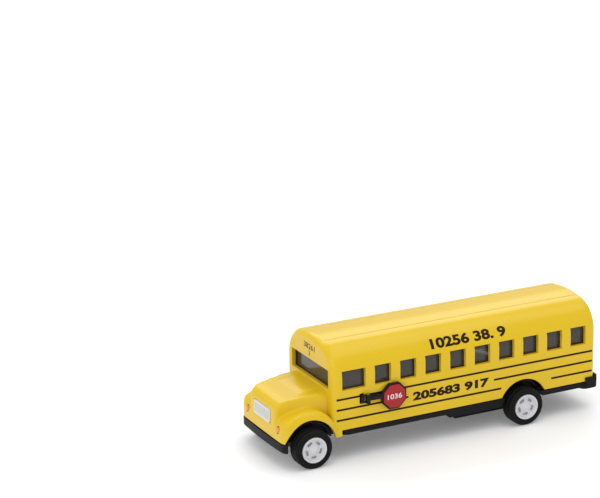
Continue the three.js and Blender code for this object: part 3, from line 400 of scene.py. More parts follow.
def cab_section(inset, bottom, x):
    half = BODY_HALF - inset
    r = SHOULDER_R - inset
    left = [(GUTTER_Y + r * math.cos(a), SHOULDER_Z + r * math.sin(a)) for a in quarter_turn(SHOULDER_STEPS)]
    across = [GUTTER_Y * (1 - k / CROWN_STEPS) for k in range(1, 2 * CROWN_STEPS)]
    crown = [(y, GUTTER_Z - inset + CROWN * (1 - (y / GUTTER_Y) ** 2)) for y in across]
    right = [(-y, z) for y, z in reversed(left)]
    return [(x, y, z) for y, z in [(-half, bottom), (half, bottom), *left, *crown, *right]]


def cab(name, inset, bottom):
    r = END_R - inset / 2
    rear, front = BODY_REAR + inset, CAB_FRONT - inset
    ends = [(r * (1 - math.cos(a)), inset + r * (1 - math.sin(a))) for a in quarter_turn(END_STEPS)]
    rings = [cab_section(taken, bottom, rear + along) for along, taken in ends]
    rings += [cab_section(taken, bottom, front - along) for along, taken in reversed(ends)]
    return skin_through(name, rings)

# %% The overlap of three views
MIDDLE_Y = 0.5
MARGIN = 1.0


def overlap(name, plan, side, view, bottom, top):
    """The solid that a plan, a side view and a front view share."""
    return carve(prism(name, plan, "Z", bottom, top + MARGIN), "INTERSECT", [
        prism(name + "_side", side, "Y", -BODY_HALF, BODY_HALF),
        prism(name + "_view", view, "X", NOSE_BACK - MARGIN, PAST_FRONT),
    ], name)


def front_view(half, bottom, over):
    """A closed front view from the rounded corner on the left."""
    return [(-half, bottom), (half, bottom), *over, *[(-y, z) for y, z in reversed(over)]]

# %% Bonnet
BONNET_TOP, BONNET_FALL, BROW_R, RAKE = 24.5, 1.4, 5.0, 0.4
BONNET_REAR_HALF, BONNET_FRONT_HALF, BONNET_BULGE = 13.8, 10.4, 0.2
BONNET_EDGE_R, BONNET_CORNER_R, BONNET_EDGE_STEPS = 3.2, 2.2, 10


def bonnet_line(x):
    """The height of the bonnet's top at a place along it."""
    return BONNET_TOP - BONNET_FALL * (x - CAB_FRONT) / (NOSE_FRONT - BROW_R - CAB_FRONT)


def bonnet(name, inset, bottom):
    front, top = NOSE_FRONT - inset, BONNET_TOP - inset
    rear_half, front_half = BONNET_REAR_HALF - inset, BONNET_FRONT_HALF - inset
    roll, edge, corner = BROW_R - inset / 2, BONNET_EDGE_R - inset / 2, BONNET_CORNER_R - inset / 2
    turn_in = (front - corner, front_half)
    plan = mirrored([
        (NOSE_BACK, rear_half),
        turn_in,
        *bend(turn_in, (front, front_half), (front, front_half - corner)),
        (front + BONNET_BULGE, MIDDLE_Y),
    ])
    lean, brow = front - RAKE, bonnet_line(front) - inset
    side = [
        (NOSE_BACK, bottom),
        (front, bottom),
        (lean, brow - roll),
        *bend((lean, brow - roll), (lean, brow), (front - roll, bonnet_line(front - roll) - inset)),
        (NOSE_BACK, bonnet_line(NOSE_BACK) - inset),
    ]
    turn = quarter_turn(BONNET_EDGE_STEPS)
    over = [(rear_half - edge + edge * math.cos(a), top - edge + edge * math.sin(a)) for a in turn]
    return overlap(name, plan, side, front_view(rear_half, bottom, over), bottom, top)

# %% Wings: points of their outlines are given as (behind the front, under the top)
WING_HALF, WING_TOP, WING_SETBACK = 17.5, 20.1, 0.1
WING_CORNER_R, WING_EDGE_R = 3.2, 4.2
CORNER_PULL, CORNER_END = 0.3, 0.1
FACE_DROP, PEAK_DROP, TAIL_DROP = 7.6, 0.1, 8.5
FALL, FALL_PULL, RISE_PULL = (4.0, 2.0), (0.5, 3.5), (7.5, 0.7)
TAIL_PULL_X, TAIL_PULL_DROP = CAB_FRONT + 1.5, 0.2
EDGE_DEEPER, EDGE_WIDER = 2.0, 1.5
CREST_BEHIND_AXLE = 1.0
CREST = AXLES["front"] - CREST_BEHIND_AXLE


def wings(name, inset, bottom):
    front, half, top = NOSE_FRONT - WING_SETBACK - inset, WING_HALF - inset, WING_TOP - inset
    corner, edge = WING_CORNER_R - inset / 2, WING_EDGE_R - inset / 2
    turn_in = (front - corner, half)
    plan = mirrored([
        (NOSE_BACK, half),
        turn_in,
        *bend(turn_in, (front - CORNER_PULL, half), (front - CORNER_END, half - corner)),
        (front, MIDDLE_Y),
    ])

    def place(point):
        return front - point[0], top - point[1]

    face, peak = (front, top - FACE_DROP), (CREST, top - PEAK_DROP)
    side = [
        (NOSE_BACK, bottom),
        (front, bottom),
        face,
        *bend(face, place(FALL_PULL), place(FALL)),
        *bend(place(FALL), place(RISE_PULL), peak),
        *bend(peak, (TAIL_PULL_X, top - TAIL_PULL_DROP), (NOSE_BACK, top - TAIL_DROP)),
    ]
    spring = (half, top - edge - EDGE_DEEPER)
    over = [spring, *bend(spring, (half, top), (half - edge - EDGE_WIDER, top))]
    return overlap(name, plan, side, front_view(half, bottom, over), bottom, top)

# %% The nose with its raised bonnet panel, evened out and smoothed
PANEL_FRONT, PANEL_MIDDLE, PANEL_FOOT, PANEL_HALF = 57.5, 51.0, 18.0, 7.6
PANEL_RISE, PANEL_MIDDLE_SHARE = 0.5, 0.7
GRID, SMOOTH_FACTOR, SMOOTH_ROUNDS = 0.35 * MM, 0.5, 8
panel = prism("bonnet_panel", [
    (NOSE_BACK, PANEL_FOOT),
    (PANEL_FRONT, PANEL_FOOT),
    (PANEL_FRONT, bonnet_line(PANEL_FRONT) - PANEL_RISE),
    (PANEL_MIDDLE, bonnet_line(PANEL_MIDDLE) + PANEL_MIDDLE_SHARE * PANEL_RISE),
    (NOSE_BACK, bonnet_line(NOSE_BACK) + PANEL_RISE),
], "Y", -PANEL_HALF, PANEL_HALF)
nose = carve(bonnet("nose", 0, FOOT), "UNION", [wings("wings", 0, FOOT), panel], "nose")
even = nose.modifiers.new("even", "REMESH")
even.mode = "VOXEL"
even.voxel_size = GRID
soften = nose.modifiers.new("soften", "SMOOTH")
soften.factor = SMOOTH_FACTOR
soften.iterations = SMOOTH_ROUNDS
nose = bake(nose, "nose")
print("nose faces", len(nose.data.polygons))

# %% Sizes of the openings in mm
WINDOW_FIRST, WINDOW_LONG, WINDOW_PITCH, WINDOW_COUNT = 28.3, 6.3, 10, 9
WINDOW_Z = (25.8, 32.7)
DRIVER_WINDOW_X = (32.0, 41.1)
REAR_WINDOW_X, REAR_WINDOW_PITCH, REAR_WINDOW_HALF = (PAST_REAR, -59.4), 10.4, 3.7
SCREEN_X, SCREEN_Y, SCREEN_Z = (41.5, 46), (-14, 14), (25.8, 32.6)
DOORWAY_X, DOORWAY_Y, DOORWAY_Z = (32.2, 41.9), (-PAST_SIDE, -16), (13, 33.4)
SILL_X, SILL_Z = (PAST_REAR, 41.3), (0, 11.3)
LAP = 0.02
NOSE_FOOT_X, NOSE_FOOT_Z = (CAB_FRONT + LAP, PAST_FRONT), (0, 9.7)
CAB_FOOT_X, CAB_FOOT_Z = (41, CAB_FRONT + 2 * LAP), (0, 9.1)
ARCH_R, ARCH_IN, ARCH_STEPS = 9.9, 12.1, 64
GROOVE_HALF, GROOVE_OVER, GROOVE_UNDER = 0.28, 0.25, 0.3

# %% Openings of the shell
both_sides, both_wings = (-PAST_SIDE, PAST_SIDE), (-PAST_WING, PAST_WING)
openings = []
for k in range(WINDOW_COUNT):
    window_x = (WINDOW_FIRST - WINDOW_PITCH * k - WINDOW_LONG, WINDOW_FIRST - WINDOW_PITCH * k)
    openings.append(block("side_window", window_x, both_sides, WINDOW_Z))
openings.append(block("driver_window", DRIVER_WINDOW_X, (0, PAST_SIDE), WINDOW_Z))
for k in (-1, 0, 1):
    window_y = (REAR_WINDOW_PITCH * k - REAR_WINDOW_HALF, REAR_WINDOW_PITCH * k + REAR_WINDOW_HALF)
    openings.append(block("rear_window", REAR_WINDOW_X, window_y, WINDOW_Z))
openings.append(block("windscreen", SCREEN_X, SCREEN_Y, SCREEN_Z))
openings.append(block("doorway", DOORWAY_X, DOORWAY_Y, DOORWAY_Z))
openings.append(block("sill", SILL_X, both_wings, SILL_Z))
openings.append(block("nose_foot", NOSE_FOOT_X, both_wings, NOSE_FOOT_Z))
openings.append(block("cab_foot", CAB_FOOT_X, both_wings, CAB_FOOT_Z))
for x in AXLES.values():
    for span in ((ARCH_IN, PAST_WING), (-PAST_WING, -ARCH_IN)):
        openings.append(rod("arch", "Y", (x, AXLE_Z), ARCH_R, span, ARCH_STEPS))
for y in (GUTTER_Y, -GUTTER_Y):
    groove = [
        (y - GROOVE_HALF, GUTTER_Z + GROOVE_OVER),
        (y, GUTTER_Z - GROOVE_UNDER),
        (y + GROOVE_HALF, GUTTER_Z + GROOVE_OVER),
    ]
    openings.append(prism("gutter", groove, "X", BODY_REAR + END_R, CAB_FRONT - END_R))
print("openings:", len(openings))

# %% Join cab and nose, cut the hollow and the openings
shell = carve(cab("shell", 0, FOOT), "UNION", [nose], "shell")
hollow = [
    cab("hollow_cab", WALL, HOLLOW_FOOT),
    bonnet("hollow_bonnet", WALL, HOLLOW_FOOT),
    wings("hollow_wings", WALL, HOLLOW_FOOT),
]
shell = carve(shell, "DIFFERENCE", hollow + openings, "shell")
print("shell faces", len(shell.data.polygons))

# %% Posts, door bosses and the grille's back inside the shell
POST_X, POST_R, POST_Z, POST_STEPS = (33.0, -52.0), 2.4, (12.1, 40.9), 32
HINGE_X, HINGE_Y = 40.8, -17.2
BOSS_X, BOSS_IN = (39.4, 42.2), -15.6
UPPER_BOSS_Y, UPPER_BOSS_Z, LOWER_BOSS_Z = (-16.6, BOSS_IN), (33.4, 35.4), (11.3, 13)
KNUCKLE = [(HINGE_Y, 0.95, 33.45), (HINGE_Y, 0.95, 34.5), (HINGE_Y + 0.8, 0.7, 35.5)]
HOLE_STEPS = 24
GRILLE_BACK_X, GRILLE_BACK_Y, GRILLE_BACK_Z = (60.4, 61.7), (-7.6, 7.6), (13, 19.3)

inside = [rod("post", "Z", (x, 0), POST_R, POST_Z, POST_STEPS) for x in POST_X]
inside.append(block("upper_boss", BOSS_X, UPPER_BOSS_Y, UPPER_BOSS_Z))
knuckle_rings = [
    [(x, y, z) for x, y in circle((HINGE_X, middle), radius, HOLE_STEPS)] for middle, radius, z in KNUCKLE
]
inside.append(skin_through("knuckle", knuckle_rings))
inside.append(block("lower_boss", BOSS_X, (HINGE_Y, BOSS_IN), LOWER_BOSS_Z))
inside.append(block("grille_back", GRILLE_BACK_X, GRILLE_BACK_Y, GRILLE_BACK_Z))
shell = carve(shell, "UNION", inside, "shell")
print("shell faces with its inside", len(shell.data.polygons))

# %% Holes for screws, door pins and lamps, and the seats of grille and bracket
PILOT_R, PILOT_Z = 1.1, (11, 18.3)
PIN_R, PIN_SPANS = 0.55, ((32.9, 34.6), (11.8, 13.5))
LAMP_Y, LAMP_Z, LAMP_SEAT_R, LAMP_SEAT_X, LAMP_STEPS = 12.1, 13.6, 1.35, (58.8, PAST_NOSE), 32
FACE_LEAN, FACE_CURL, CURL_FROM = 0.034, 0.05, 17
SEAT_LOW, SEAT_TALL, SEAT_HALF, SEAT_DEEP, SEAT_STEPS = 14.08, 5.14, 6.52, 0.9, 8
BRACKET_X, BRACKET_Y, BRACKET_Z = (32.8, 34.4), (16.9, 19.5), (19.85, 23.55)


def nose_face(z):
    """Where the front of the nose lies at a height, in mm: nearly upright, curling back towards the brow."""
    return NOSE_FRONT - FACE_LEAN * (z - FOOT) - FACE_CURL * max(0, z - CURL_FROM) ** 2


holes = [rod("pilot", "Z", (x, 0), PILOT_R, PILOT_Z, HOLE_STEPS) for x in POST_X]
holes += [rod("pin_hole", "Z", (HINGE_X, HINGE_Y), PIN_R, span, HOLE_STEPS) for span in PIN_SPANS]
for y in (LAMP_Y, -LAMP_Y):
    holes.append(rod("lamp_seat", "X", (y, LAMP_Z), LAMP_SEAT_R, LAMP_SEAT_X, LAMP_STEPS))
heights = [SEAT_LOW + SEAT_TALL * k / SEAT_STEPS for k in range(SEAT_STEPS + 1)]
seat = [(PAST_NOSE, heights[-1]), (PAST_NOSE, heights[0]), *[(nose_face(z) - SEAT_DEEP, z) for z in heights]]
holes.append(prism("grille_seat", seat, "Y", -SEAT_HALF, SEAT_HALF))
holes.append(block("bracket_seat", BRACKET_X, BRACKET_Y, BRACKET_Z))
shell = carve(shell, "DIFFERENCE", holes, "shell")
print("shell faces with its holes", len(shell.data.polygons))

# %% Ease the shell's edges and set it on the bus
SHELL_ROUND = 0.16
SOFT_FROM_Z = 13.5


def on_soft_nose(place):
    """The curved upper nose keeps its fine grid: joined faces would shade badly beside the wheel arch."""
    return place.x > CAB_FRONT * MM and place.z > SOFT_FROM_Z * MM


shell_piece = eased(shell, "body_shell_moulded", yellow_plastic, SHELL_ROUND, dense=on_soft_nose)
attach(shell_piece, "bus")
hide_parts("body_shell")
print(shell_piece.name, "faces", len(shell_piece.data.polygons))

# %% The glazing, carried across the whole windscreen
SCREEN_END_X, SCREEN_END_Y, SCREEN_END_Z = (41.93, 42.77), (-15.2, -8), (24.63, 33.87)
glazing = rough_copy("window_glazing")
skin = bmesh.new()
skin.from_mesh(glazing.data)
bmesh.ops.remove_doubles(skin, verts=skin.verts, dist=WELD)
skin.to_mesh(glazing.data)
skin.free()
screen_end = block("screen_end", SCREEN_END_X, SCREEN_END_Y, SCREEN_END_Z)
glazing = carve(glazing, "UNION", [screen_end], "glazing")
glazing_piece = eased(glazing, "window_glazing_moulded", smoked_plastic, 0)
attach(glazing_piece, "bus")
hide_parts("window_glazing")
print(glazing_piece.name, "faces", len(glazing_piece.data.polygons))

# %% The grille, laid along the nose
GRILLE_FRONT, GRILLE_PROUD = 63.95, 0.3
grille = rough_copy("grille")
for vertex in grille.data.vertices:
    vertex.co.x += (nose_face(vertex.co.z / MM) + GRILLE_PROUD - GRILLE_FRONT) * MM
grille_piece = eased(grille, "grille_moulded", silver_paint, 0)
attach(grille_piece, "bus")
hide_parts("grille")
print(grille_piece.name, "faces", len(grille_piece.data.polygons))

# %% [markdown]
# ## Wheels
# Tyres and rims are round, so they are turned: a profile is swept round the axle in small steps. One of each
# is made at the origin, facing +Y. The rim's five openings repeat, so a Geometry Nodes tree sets five cutters
# in a ring. A second tree then sets a left and a right copy on an axle.

# %% Turn a profile round the Y axis
def turned(name, profile, steps):
    """profile is a list of (radius, y) in mm; a radius of 0 closes the end with a pole."""
    skin = bmesh.new()
    angles = [2 * math.pi * i / steps for i in range(steps)]
    rings = []
    for radius, y in profile:
        r = radius * MM
        if radius == 0:
            rings.append([skin.verts.new((0, y * MM, 0))])
        else:
            rings.append([skin.verts.new((r * math.sin(a), y * MM, r * math.cos(a))) for a in angles])
    for one, two in zip(rings, rings[1:] + rings[:1]):
        if len(one) == 1 and len(two) == 1:
            continue
        for i in range(steps):
            j = (i + 1) % steps
            corners = [one[i % len(one)], one[j % len(one)], two[j % len(two)], two[i % len(two)]]
            skin.faces.new(list(dict.fromkeys(corners)))
    obj = place_mesh(name, skin)
    obj.data.shade_smooth()
    return obj

# %% Tyre: a raised side ring, round shoulders and two grooves round the tread
TYRE_OUTER, TYRE_INNER, TREAD = 20.25, 14.55, 7.0
TYRE_ROUND, TYRE_ROUND_DEEP, TYRE_ROUND_STEPS, TYRE_STEPS = 1.0, 0.85, 6, 96
TREAD_GROOVE, GROOVE_EDGES, GROOVE_FLOOR = 0.22, (1.75, 2.17), (1.82, 2.1)
side_ring = [(4.66, 0.5), (4.8, 0.2), (5.0, 0.06), (5.25, 0.0), (5.4, 0.1), (5.55, 0.1), (5.7, 0.0)]
shoulder = [
    (TREAD - TYRE_ROUND + TYRE_ROUND * math.sin(a), TYRE_ROUND_DEEP - TYRE_ROUND_DEEP * math.cos(a))
    for a in quarter_turn(TYRE_ROUND_STEPS)
]
tread_groove = [
    (TREAD, GROOVE_EDGES[0]),
    (TREAD - TREAD_GROOVE, GROOVE_FLOOR[0]),
    (TREAD - TREAD_GROOVE, GROOVE_FLOOR[1]),
    (TREAD, GROOVE_EDGES[1]),
]
one_side = side_ring + shoulder[1:] + tread_groove
other_side = [(r, TYRE_OUTER - TYRE_INNER - y) for r, y in reversed(one_side)]
tyre_profile = [(r, TYRE_INNER + y) for r, y in one_side + other_side]
tyre = turned("tyre_pattern", tyre_profile, TYRE_STEPS)
print("tyre points", len(tyre_profile))

# %% A Geometry Nodes tree with named inputs
def new_tree(name, inputs):
    tree = bpy.data.node_groups.new(name, "GeometryNodeTree")
    tree.interface.new_socket("Geometry", in_out="INPUT", socket_type="NodeSocketGeometry")
    for label, kind in inputs:
        tree.interface.new_socket(label, in_out="INPUT", socket_type=kind)
    tree.interface.new_socket("Geometry", in_out="OUTPUT", socket_type="NodeSocketGeometry")
    return tree, tree.nodes.new("NodeGroupInput"), tree.nodes.new("NodeGroupOutput")


def grow(name, tree, values):
    """A new object that holds what the tree makes from these input values."""
    obj = bpy.data.objects.new(name + "_grown", bpy.data.meshes.new(name + "_seed"))
    scene.collection.objects.link(obj)
    modifier = obj.modifiers.new(name, "NODES")
    modifier.node_group = tree
    for socket in tree.interface.items_tree:
        if socket.in_out == "INPUT" and socket.name in values:
            modifier[socket.identifier] = values[socket.name]
    return bake(obj, name)


def closing(tree, geometry, material_socket, output):
    """Realize Instances and Set Material at the end of a tree."""
    realize = tree.nodes.new("GeometryNodeRealizeInstances")
    paint = tree.nodes.new("GeometryNodeSetMaterial")
    tree.links.new(geometry, realize.inputs["Geometry"])
    tree.links.new(realize.outputs["Geometry"], paint.inputs["Geometry"])
    tree.links.new(material_socket, paint.inputs["Material"])
    tree.links.new(paint.outputs["Geometry"], output.inputs["Geometry"])

# %% A ring of cutters for the rim's openings
def ring_tree():
    tree, given, output = new_tree("cutter_ring", [
        ("Cutter", "NodeSocketObject"), ("Count", "NodeSocketInt"), ("Radius", "NodeSocketFloat"),
        ("Finish", "NodeSocketMaterial"),
    ])
    points = tree.nodes.new("GeometryNodeMeshCircle")
    lay = tree.nodes.new("GeometryNodeTransform")
    lay.inputs["Rotation"].default_value = (math.pi / 2, 0, 0)
    source = tree.nodes.new("GeometryNodeObjectInfo")
    spread = tree.nodes.new("GeometryNodeInstanceOnPoints")
    where = tree.nodes.new("GeometryNodeInputPosition")
    point = tree.nodes.new("FunctionNodeAlignRotationToVector")
    point.axis = "Z"
    point.pivot_axis = "Y"
    link = tree.links.new
    link(given.outputs["Count"], points.inputs["Vertices"])
    link(given.outputs["Radius"], points.inputs["Radius"])
    link(points.outputs["Mesh"], lay.inputs["Geometry"])
    link(given.outputs["Cutter"], source.inputs["Object"])
    link(lay.outputs["Geometry"], spread.inputs["Points"])
    link(source.outputs["Geometry"], spread.inputs["Instance"])
    link(where.outputs["Position"], point.inputs["Vector"])
    link(point.outputs["Rotation"], spread.inputs["Rotation"])
    closing(tree, spread.outputs["Instances"], given.outputs["Finish"], output)
    return tree

# %% One rounded opening, as a solid that points along +Y
ROUND_END_STEPS = 8


def slot_cutter(wide, tall, from_y, to_y):
    """A stadium outline, its long side across the radius."""
    r = tall / 2
    outline = []
    for side in (1, -1):
        for k in range(ROUND_END_STEPS + 1):
            a = side * math.pi / 2 - math.pi * k / ROUND_END_STEPS
            outline.append((side * (wide / 2 - r) + r * math.cos(a), r * math.sin(a)))
    return prism("slot_cutter", outline, "Y", from_y, to_y)

# %% Rim: inner hub, barrel, lip, dished web and hub cap, then five openings
RIM_EDGE, RIM_STEPS, FACE = 4.64, 80, TYRE_OUTER
SLOT_COUNT, SLOT_RADIUS, SLOT_WIDE, SLOT_TALL = 5, 2.72, 2.15, 1.0
SLOT_FROM, SLOT_TO = FACE - 1.65, 21.5
RIM_SHARP = math.radians(40)
rim_profile = [
    (0, 15.85), (2.2, 15.85), (2.2, 18.3), (3.6, 18.3), (4.1, 17.6), (4.1, 15.0), (RIM_EDGE, 15.0),
    (RIM_EDGE, FACE - 0.05), (RIM_EDGE - 0.08, FACE + 0.16), (RIM_EDGE - 0.25, FACE + 0.24),
    (RIM_EDGE - 0.5, FACE + 0.2), (RIM_EDGE - 0.66, FACE + 0.02), (RIM_EDGE - 0.8, FACE - 0.4),
    (RIM_EDGE - 1.0, FACE - 0.66), (RIM_EDGE - 1.3, FACE - 0.74), (2.0, FACE - 0.62), (1.75, FACE - 0.52),
    (1.62, FACE - 0.3), (1.45, FACE - 0.2), (0.9, FACE - 0.18), (0.75, FACE - 0.1), (0.55, FACE - 0.02),
    (0, FACE),
]
rim = turned("rim_pattern", rim_profile, RIM_STEPS)
cutter = slot_cutter(SLOT_WIDE, SLOT_TALL, SLOT_FROM, SLOT_TO)
rim_openings = grow("rim_openings", ring_tree(), {
    "Cutter": cutter, "Count": SLOT_COUNT, "Radius": SLOT_RADIUS * MM, "Finish": rim_plastic,
})
rim = carve(rim, "DIFFERENCE", [rim_openings], "rim_pattern")
rim.data.set_sharp_from_angle(angle=RIM_SHARP)
bpy.data.objects.remove(cutter)
print("rim faces", len(rim.data.polygons))

# %% A tree that sets a left and a right copy on one axle
def pair_tree():
    tree, given, output = new_tree("wheel_pair", [
        ("Pattern", "NodeSocketObject"), ("Axle", "NodeSocketVector"), ("Turn", "NodeSocketFloat"),
        ("Finish", "NodeSocketMaterial"),
    ])
    source = tree.nodes.new("GeometryNodeObjectInfo")
    spin = tree.nodes.new("ShaderNodeCombineXYZ")
    both = tree.nodes.new("GeometryNodeJoinGeometry")
    link = tree.links.new
    link(given.outputs["Pattern"], source.inputs["Object"])
    link(given.outputs["Turn"], spin.inputs["Y"])
    for hand in (0, math.pi):
        turn = tree.nodes.new("GeometryNodeTransform")
        face = tree.nodes.new("GeometryNodeTransform")
        face.inputs["Rotation"].default_value = (0, 0, hand)
        move = tree.nodes.new("GeometryNodeTransform")
        link(source.outputs["Geometry"], turn.inputs["Geometry"])
        link(spin.outputs["Vector"], turn.inputs["Rotation"])
        link(turn.outputs["Geometry"], face.inputs["Geometry"])
        link(face.outputs["Geometry"], move.inputs["Geometry"])
        link(given.outputs["Axle"], move.inputs["Translation"])
        link(move.outputs["Geometry"], both.inputs["Geometry"])
    closing(tree, both.outputs["Geometry"], given.outputs["Finish"], output)
    return tree

# %% Tyres and rims on both axles
WHEEL_TURN = 0.3
WHEEL_KINDS = (("tyre", tyre, tyre_rubber, "tyre_black"), ("rim", rim, rim_plastic, "rim_white"))
wheel_pair = pair_tree()
for end, x in AXLES.items():
    for kind, pattern, material, slot in WHEEL_KINDS:
        pair = grow(f"{end}_{kind}s", wheel_pair, {
            "Pattern": pattern, "Axle": (x * MM, 0, AXLE_Z * MM), "Turn": WHEEL_TURN, "Finish": material,
        })
        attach(pair, f"{end}_wheels")
        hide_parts(f"{end}_left_{kind}", f"{end}_right_{kind}")
        print(pair.name, "triangles about", 2 * len(pair.data.polygons))
bpy.data.objects.remove(tyre)
bpy.data.objects.remove(rim)

# %% [markdown]
# ## Printed lines and numbers
# The sides carry three thin dark belt lines, and dark characters on the belt and on the roof's shoulder. They
# are printed: each is a film whose face lies 0.035 mm above the plastic and whose back lies just inside it,
# so that it is a closed solid. The characters here are plain numbers. On the shoulder they are bent along the
# same arc as the cab's section.

# %% A thin film from faces, set on a body
PRINT = 0.035
FILM = 0.06
PRINT_WELD = 0.004 * MM


def printed(name, vertices, faces, material, body):
    mesh = bpy.data.meshes.new(name)
    mesh.from_pydata([Vector(v) * MM for v in vertices], [], faces)
    mesh.materials.append(material)
    skin = bmesh.new()
    skin.from_mesh(mesh)
    bmesh.ops.remove_doubles(skin, verts=skin.verts, dist=PRINT_WELD)
    bmesh.ops.delete(skin, geom=[v for v in skin.verts if not v.link_faces], context="VERTS")
    skin.to_mesh(mesh)
    skin.free()
    flat = bpy.data.objects.new(name + "_flat", mesh)
    scene.collection.objects.link(flat)
    film = flat.modifiers.new("film", "SOLIDIFY")
    film.thickness = FILM * MM
    film.offset = -1
    obj = bake(flat, name)
    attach(obj, body)
    return obj

# %% Belt lines on both sides, with gaps for the number and the rear wheel
LINE, LINE_REAR = 0.72, -60.9
LINE_FRONT = {1: 43.4, -1: 31.6}
LINE_GAPS = {22.75: None, 18.94: (15.2, -19.6), 15.15: (-22.6, -43.6)}
vertices, faces = [], []
for hand, line_front in LINE_FRONT.items():
    y = hand * (BODY_HALF + PRINT)
    for z, gap in LINE_GAPS.items():
        low, high = z - LINE / 2, z + LINE / 2
        spans = [(line_front, gap[0]), (gap[1], LINE_REAR)] if gap else [(line_front, LINE_REAR)]
        for front, rear in spans:
            start = len(vertices)
            vertices += [(front, y, low), (rear, y, low), (rear, y, high), (front, y, high)]
            order = [start, start + 1, start + 2, start + 3]
            faces.append(order if hand > 0 else order[::-1])
printed("belt_lines", vertices, faces, print_black, "bus")
print("belt lines:", len(faces))

# %% Numbers as flat meshes, in units of the font's size until the end
GLYPH_STEPS, GLYPH_WELD, GLYPH_CLEAN = 4, 0.006, 0.004
LONG_EDGE, LONG_EDGE_CUTS = 0.3, 2


def face_up_once(skin):
    """Turns all faces of a flat skin up, then deletes the smaller of two that lie over each other."""
    for face in skin.faces:
        face.normal_update()
        if face.normal.z < 0:
            face.normal_flip()
    doubled = set()
    for edge in skin.edges:
        for corner in edge.verts:
            same_side = [loop.face for loop in edge.link_loops if loop.vert == corner]
            if len(same_side) > 1:
                doubled.add(min(same_side, key=lambda face: face.calc_area()))
    bmesh.ops.delete(skin, geom=list(doubled), context="FACES")


def number_mesh(text, wide, tall, weight):
    """The vertices (u, v) in mm, from the lower left corner, and the faces of a line of numbers."""
    curve = bpy.data.curves.new("number", "FONT")
    curve.body = text
    curve.offset = weight
    curve.resolution_u = GLYPH_STEPS
    obj = bpy.data.objects.new("number", curve)
    scene.collection.objects.link(obj)
    flat = bake(obj, "number")
    skin = bmesh.new()
    skin.from_mesh(flat.data)
    bpy.data.objects.remove(flat)
    bmesh.ops.remove_doubles(skin, verts=skin.verts, dist=GLYPH_WELD)
    bmesh.ops.dissolve_degenerate(skin, edges=skin.edges, dist=GLYPH_WELD)
    bmesh.ops.triangulate(skin, faces=skin.faces)
    long_edges = [e for e in skin.edges if e.calc_length() > LONG_EDGE]
    bmesh.ops.subdivide_edges(skin, edges=long_edges, cuts=LONG_EDGE_CUTS)
    bmesh.ops.triangulate(skin, faces=skin.faces)
    bmesh.ops.dissolve_degenerate(skin, edges=skin.edges, dist=GLYPH_CLEAN)
    face_up_once(skin)
    skin.verts.index_update()
    points = [v.co.copy() for v in skin.verts]
    corners = [[v.index for v in f.verts] for f in skin.faces]
    skin.free()
    low = Vector((min(p.x for p in points), min(p.y for p in points)))
    high = Vector((max(p.x for p in points), max(p.y for p in points)))
    scale = (wide / (high.x - low.x), tall / (high.y - low.y))
    return [((p.x - low.x) * scale[0], (p.y - low.y) * scale[1]) for p in points], corners

# %% Four ways to lay a flat number on the bus
def on_side(hand, start_x, low_z):
    return lambda u, v: (start_x - hand * u, hand * (BODY_HALF + PRINT), low_z + v)


def on_shoulder(hand, start_x, low_z):
    first = math.asin((low_z - SHOULDER_Z) / SHOULDER_R)
    r = SHOULDER_R + PRINT

    def place(u, v):
        a = first + v / SHOULDER_R
        return (start_x - hand * u, hand * (GUTTER_Y + r * math.cos(a)), SHOULDER_Z + r * math.sin(a))
    return place


def on_header(start_y, low_z):
    return lambda u, v: (CAB_FRONT + PRINT, start_y + u, low_z + v)


def on_sign(start_x, face_y, low_z):
    return lambda u, v: (start_x - u, face_y + PRINT, low_z + v)

# %% Numbers on both sides: text, width, height, weight, way to lay it, start x left and right, lower edge
NUMBERS = {
    "belt_number": ("205683 917", 30.9, 3.4, 0.05, on_side, (13.4, -17.5), 17.0),
    "roof_number": ("10256 38. 9", 30.6, 4.0, 0.04, on_shoulder, (5.4, -25.2), 34.4),
}
for name, (text, wide, tall, weight, lay, (start_left, start_right), low_z) in NUMBERS.items():
    flat, corners = number_mesh(text, wide, tall, weight)
    for hand, label, start_x in ((1, "left", start_left), (-1, "right", start_right)):
        place = lay(hand, start_x, low_z)
        vertices = [place(u, v) for u, v in flat]
        printed(f"{name}_{label}", vertices, corners, print_black, "bus")
    print(name, "faces", len(corners))

# %% Numbers over the windscreen and on the sign: text, width, height, lower edge
SMALL_WEIGHT = 0.005
HEADER = {"header_number": ("38261", 8.4, 2.0, 36.2), "header_digit": ("2", 1.2, 1.7, 33.9)}
SIGN_TEXT, SIGN_WIDE, SIGN_TALL = "1036", 5.6, 1.8
for name, (text, wide, tall, low_z) in HEADER.items():
    flat, corners = number_mesh(text, wide, tall, SMALL_WEIGHT)
    place = on_header(-wide / 2, low_z)
    printed(name, [place(u, v) for u, v in flat], corners, print_black, "bus")
    print(name, "faces", len(corners))

sign_corners = [v.co / MM for v in nodes["stop_sign_face"].data.vertices]
sign_x = sum(v.x for v in sign_corners) / len(sign_corners)
sign_y = max(v.y for v in sign_corners)
sign_z = sum(v.z for v in sign_corners) / len(sign_corners)
flat, corners = number_mesh(SIGN_TEXT, SIGN_WIDE, SIGN_TALL, SMALL_WEIGHT)
place = on_sign(sign_x + SIGN_WIDE / 2, sign_y, sign_z - SIGN_TALL / 2)
printed("sign_number", [place(u, v) for u, v in flat], corners, print_white, "sign")
print("sign_number faces", len(corners))

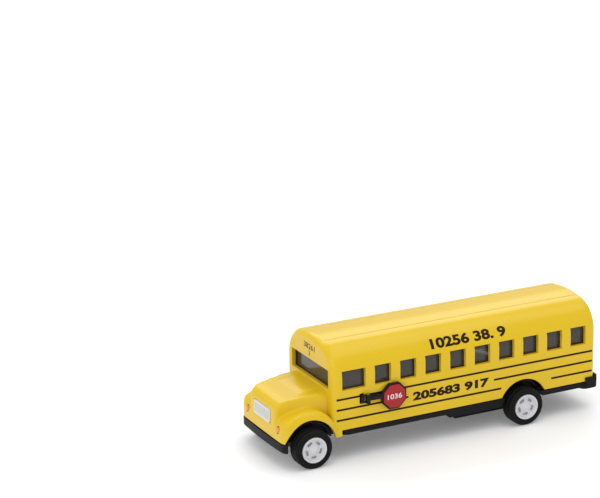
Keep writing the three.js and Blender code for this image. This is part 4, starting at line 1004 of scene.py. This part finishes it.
# %% [markdown]
# ## Light and floor
# A plain pale floor and big soft lamps, as in a product studio: one broad lamp overhead, one from the
# camera's left to brighten the nose, one over the floor behind the bus, and an even pale surrounding. The
# floor glows faintly, because the shadow in the photo is lighter than these lamps alone would give.

# %% Floor
FLOOR_HALF, FLOOR_GLOW = 3.0, 0.13
floor_mesh = bpy.data.meshes.new("studio_floor")
floor_corners = [(x * FLOOR_HALF, y * FLOOR_HALF, 0) for x, y in ((-1, -1), (1, -1), (1, 1), (-1, 1))]
floor_mesh.from_pydata(floor_corners, [], [(0, 1, 2, 3)])
floor = bpy.data.objects.new("studio_floor", floor_mesh)
floor.data.materials.append(finish(
    "studio_paper", (0.86, 0.86, 0.87), drift=0.004, rough=0.7, ripple=0.0,
    Emission_Color=(1.0, 1.0, 1.0, 1.0), Emission_Strength=FLOOR_GLOW,
))
scene.collection.objects.link(floor)
print("floor half width in m:", FLOOR_HALF)

# %% Lamps and surrounding
SURROUND_COLOUR, SURROUND_STRENGTH = (1.0, 1.0, 1.0, 1), 0.70


def soft_lamp(name, place, aim, size, power):
    data = bpy.data.lights.new(name, "AREA")
    data.shape = "RECTANGLE"
    data.size, data.size_y = size
    data.energy = power
    lamp = bpy.data.objects.new(name, data)
    lamp.location = place
    lamp.rotation_euler = (Vector(aim) - Vector(place)).to_track_quat("-Z", "Y").to_euler()
    scene.collection.objects.link(lamp)


soft_lamp("overhead", place=(-0.10, 0.15, 0.75), aim=(0, 0, 0.02), size=(0.9, 0.6), power=2.25)
soft_lamp("front_left", place=(0.75, 0.35, 0.40), aim=(0.03, 0, 0.02), size=(0.5, 0.4), power=1.5)
soft_lamp("backdrop", place=(-0.35, -0.95, 0.8), aim=(-0.35, -0.85, 0), size=(1.4, 0.8), power=7.0)
surround = bpy.data.worlds.new("studio_surround")
surround.use_nodes = True
background = surround.node_tree.nodes["Background"]
background.inputs["Color"].default_value = SURROUND_COLOUR
background.inputs["Strength"].default_value = SURROUND_STRENGTH
scene.world = surround
scene.view_settings.view_transform = "Standard"
print("lamps:", len(bpy.data.lights))
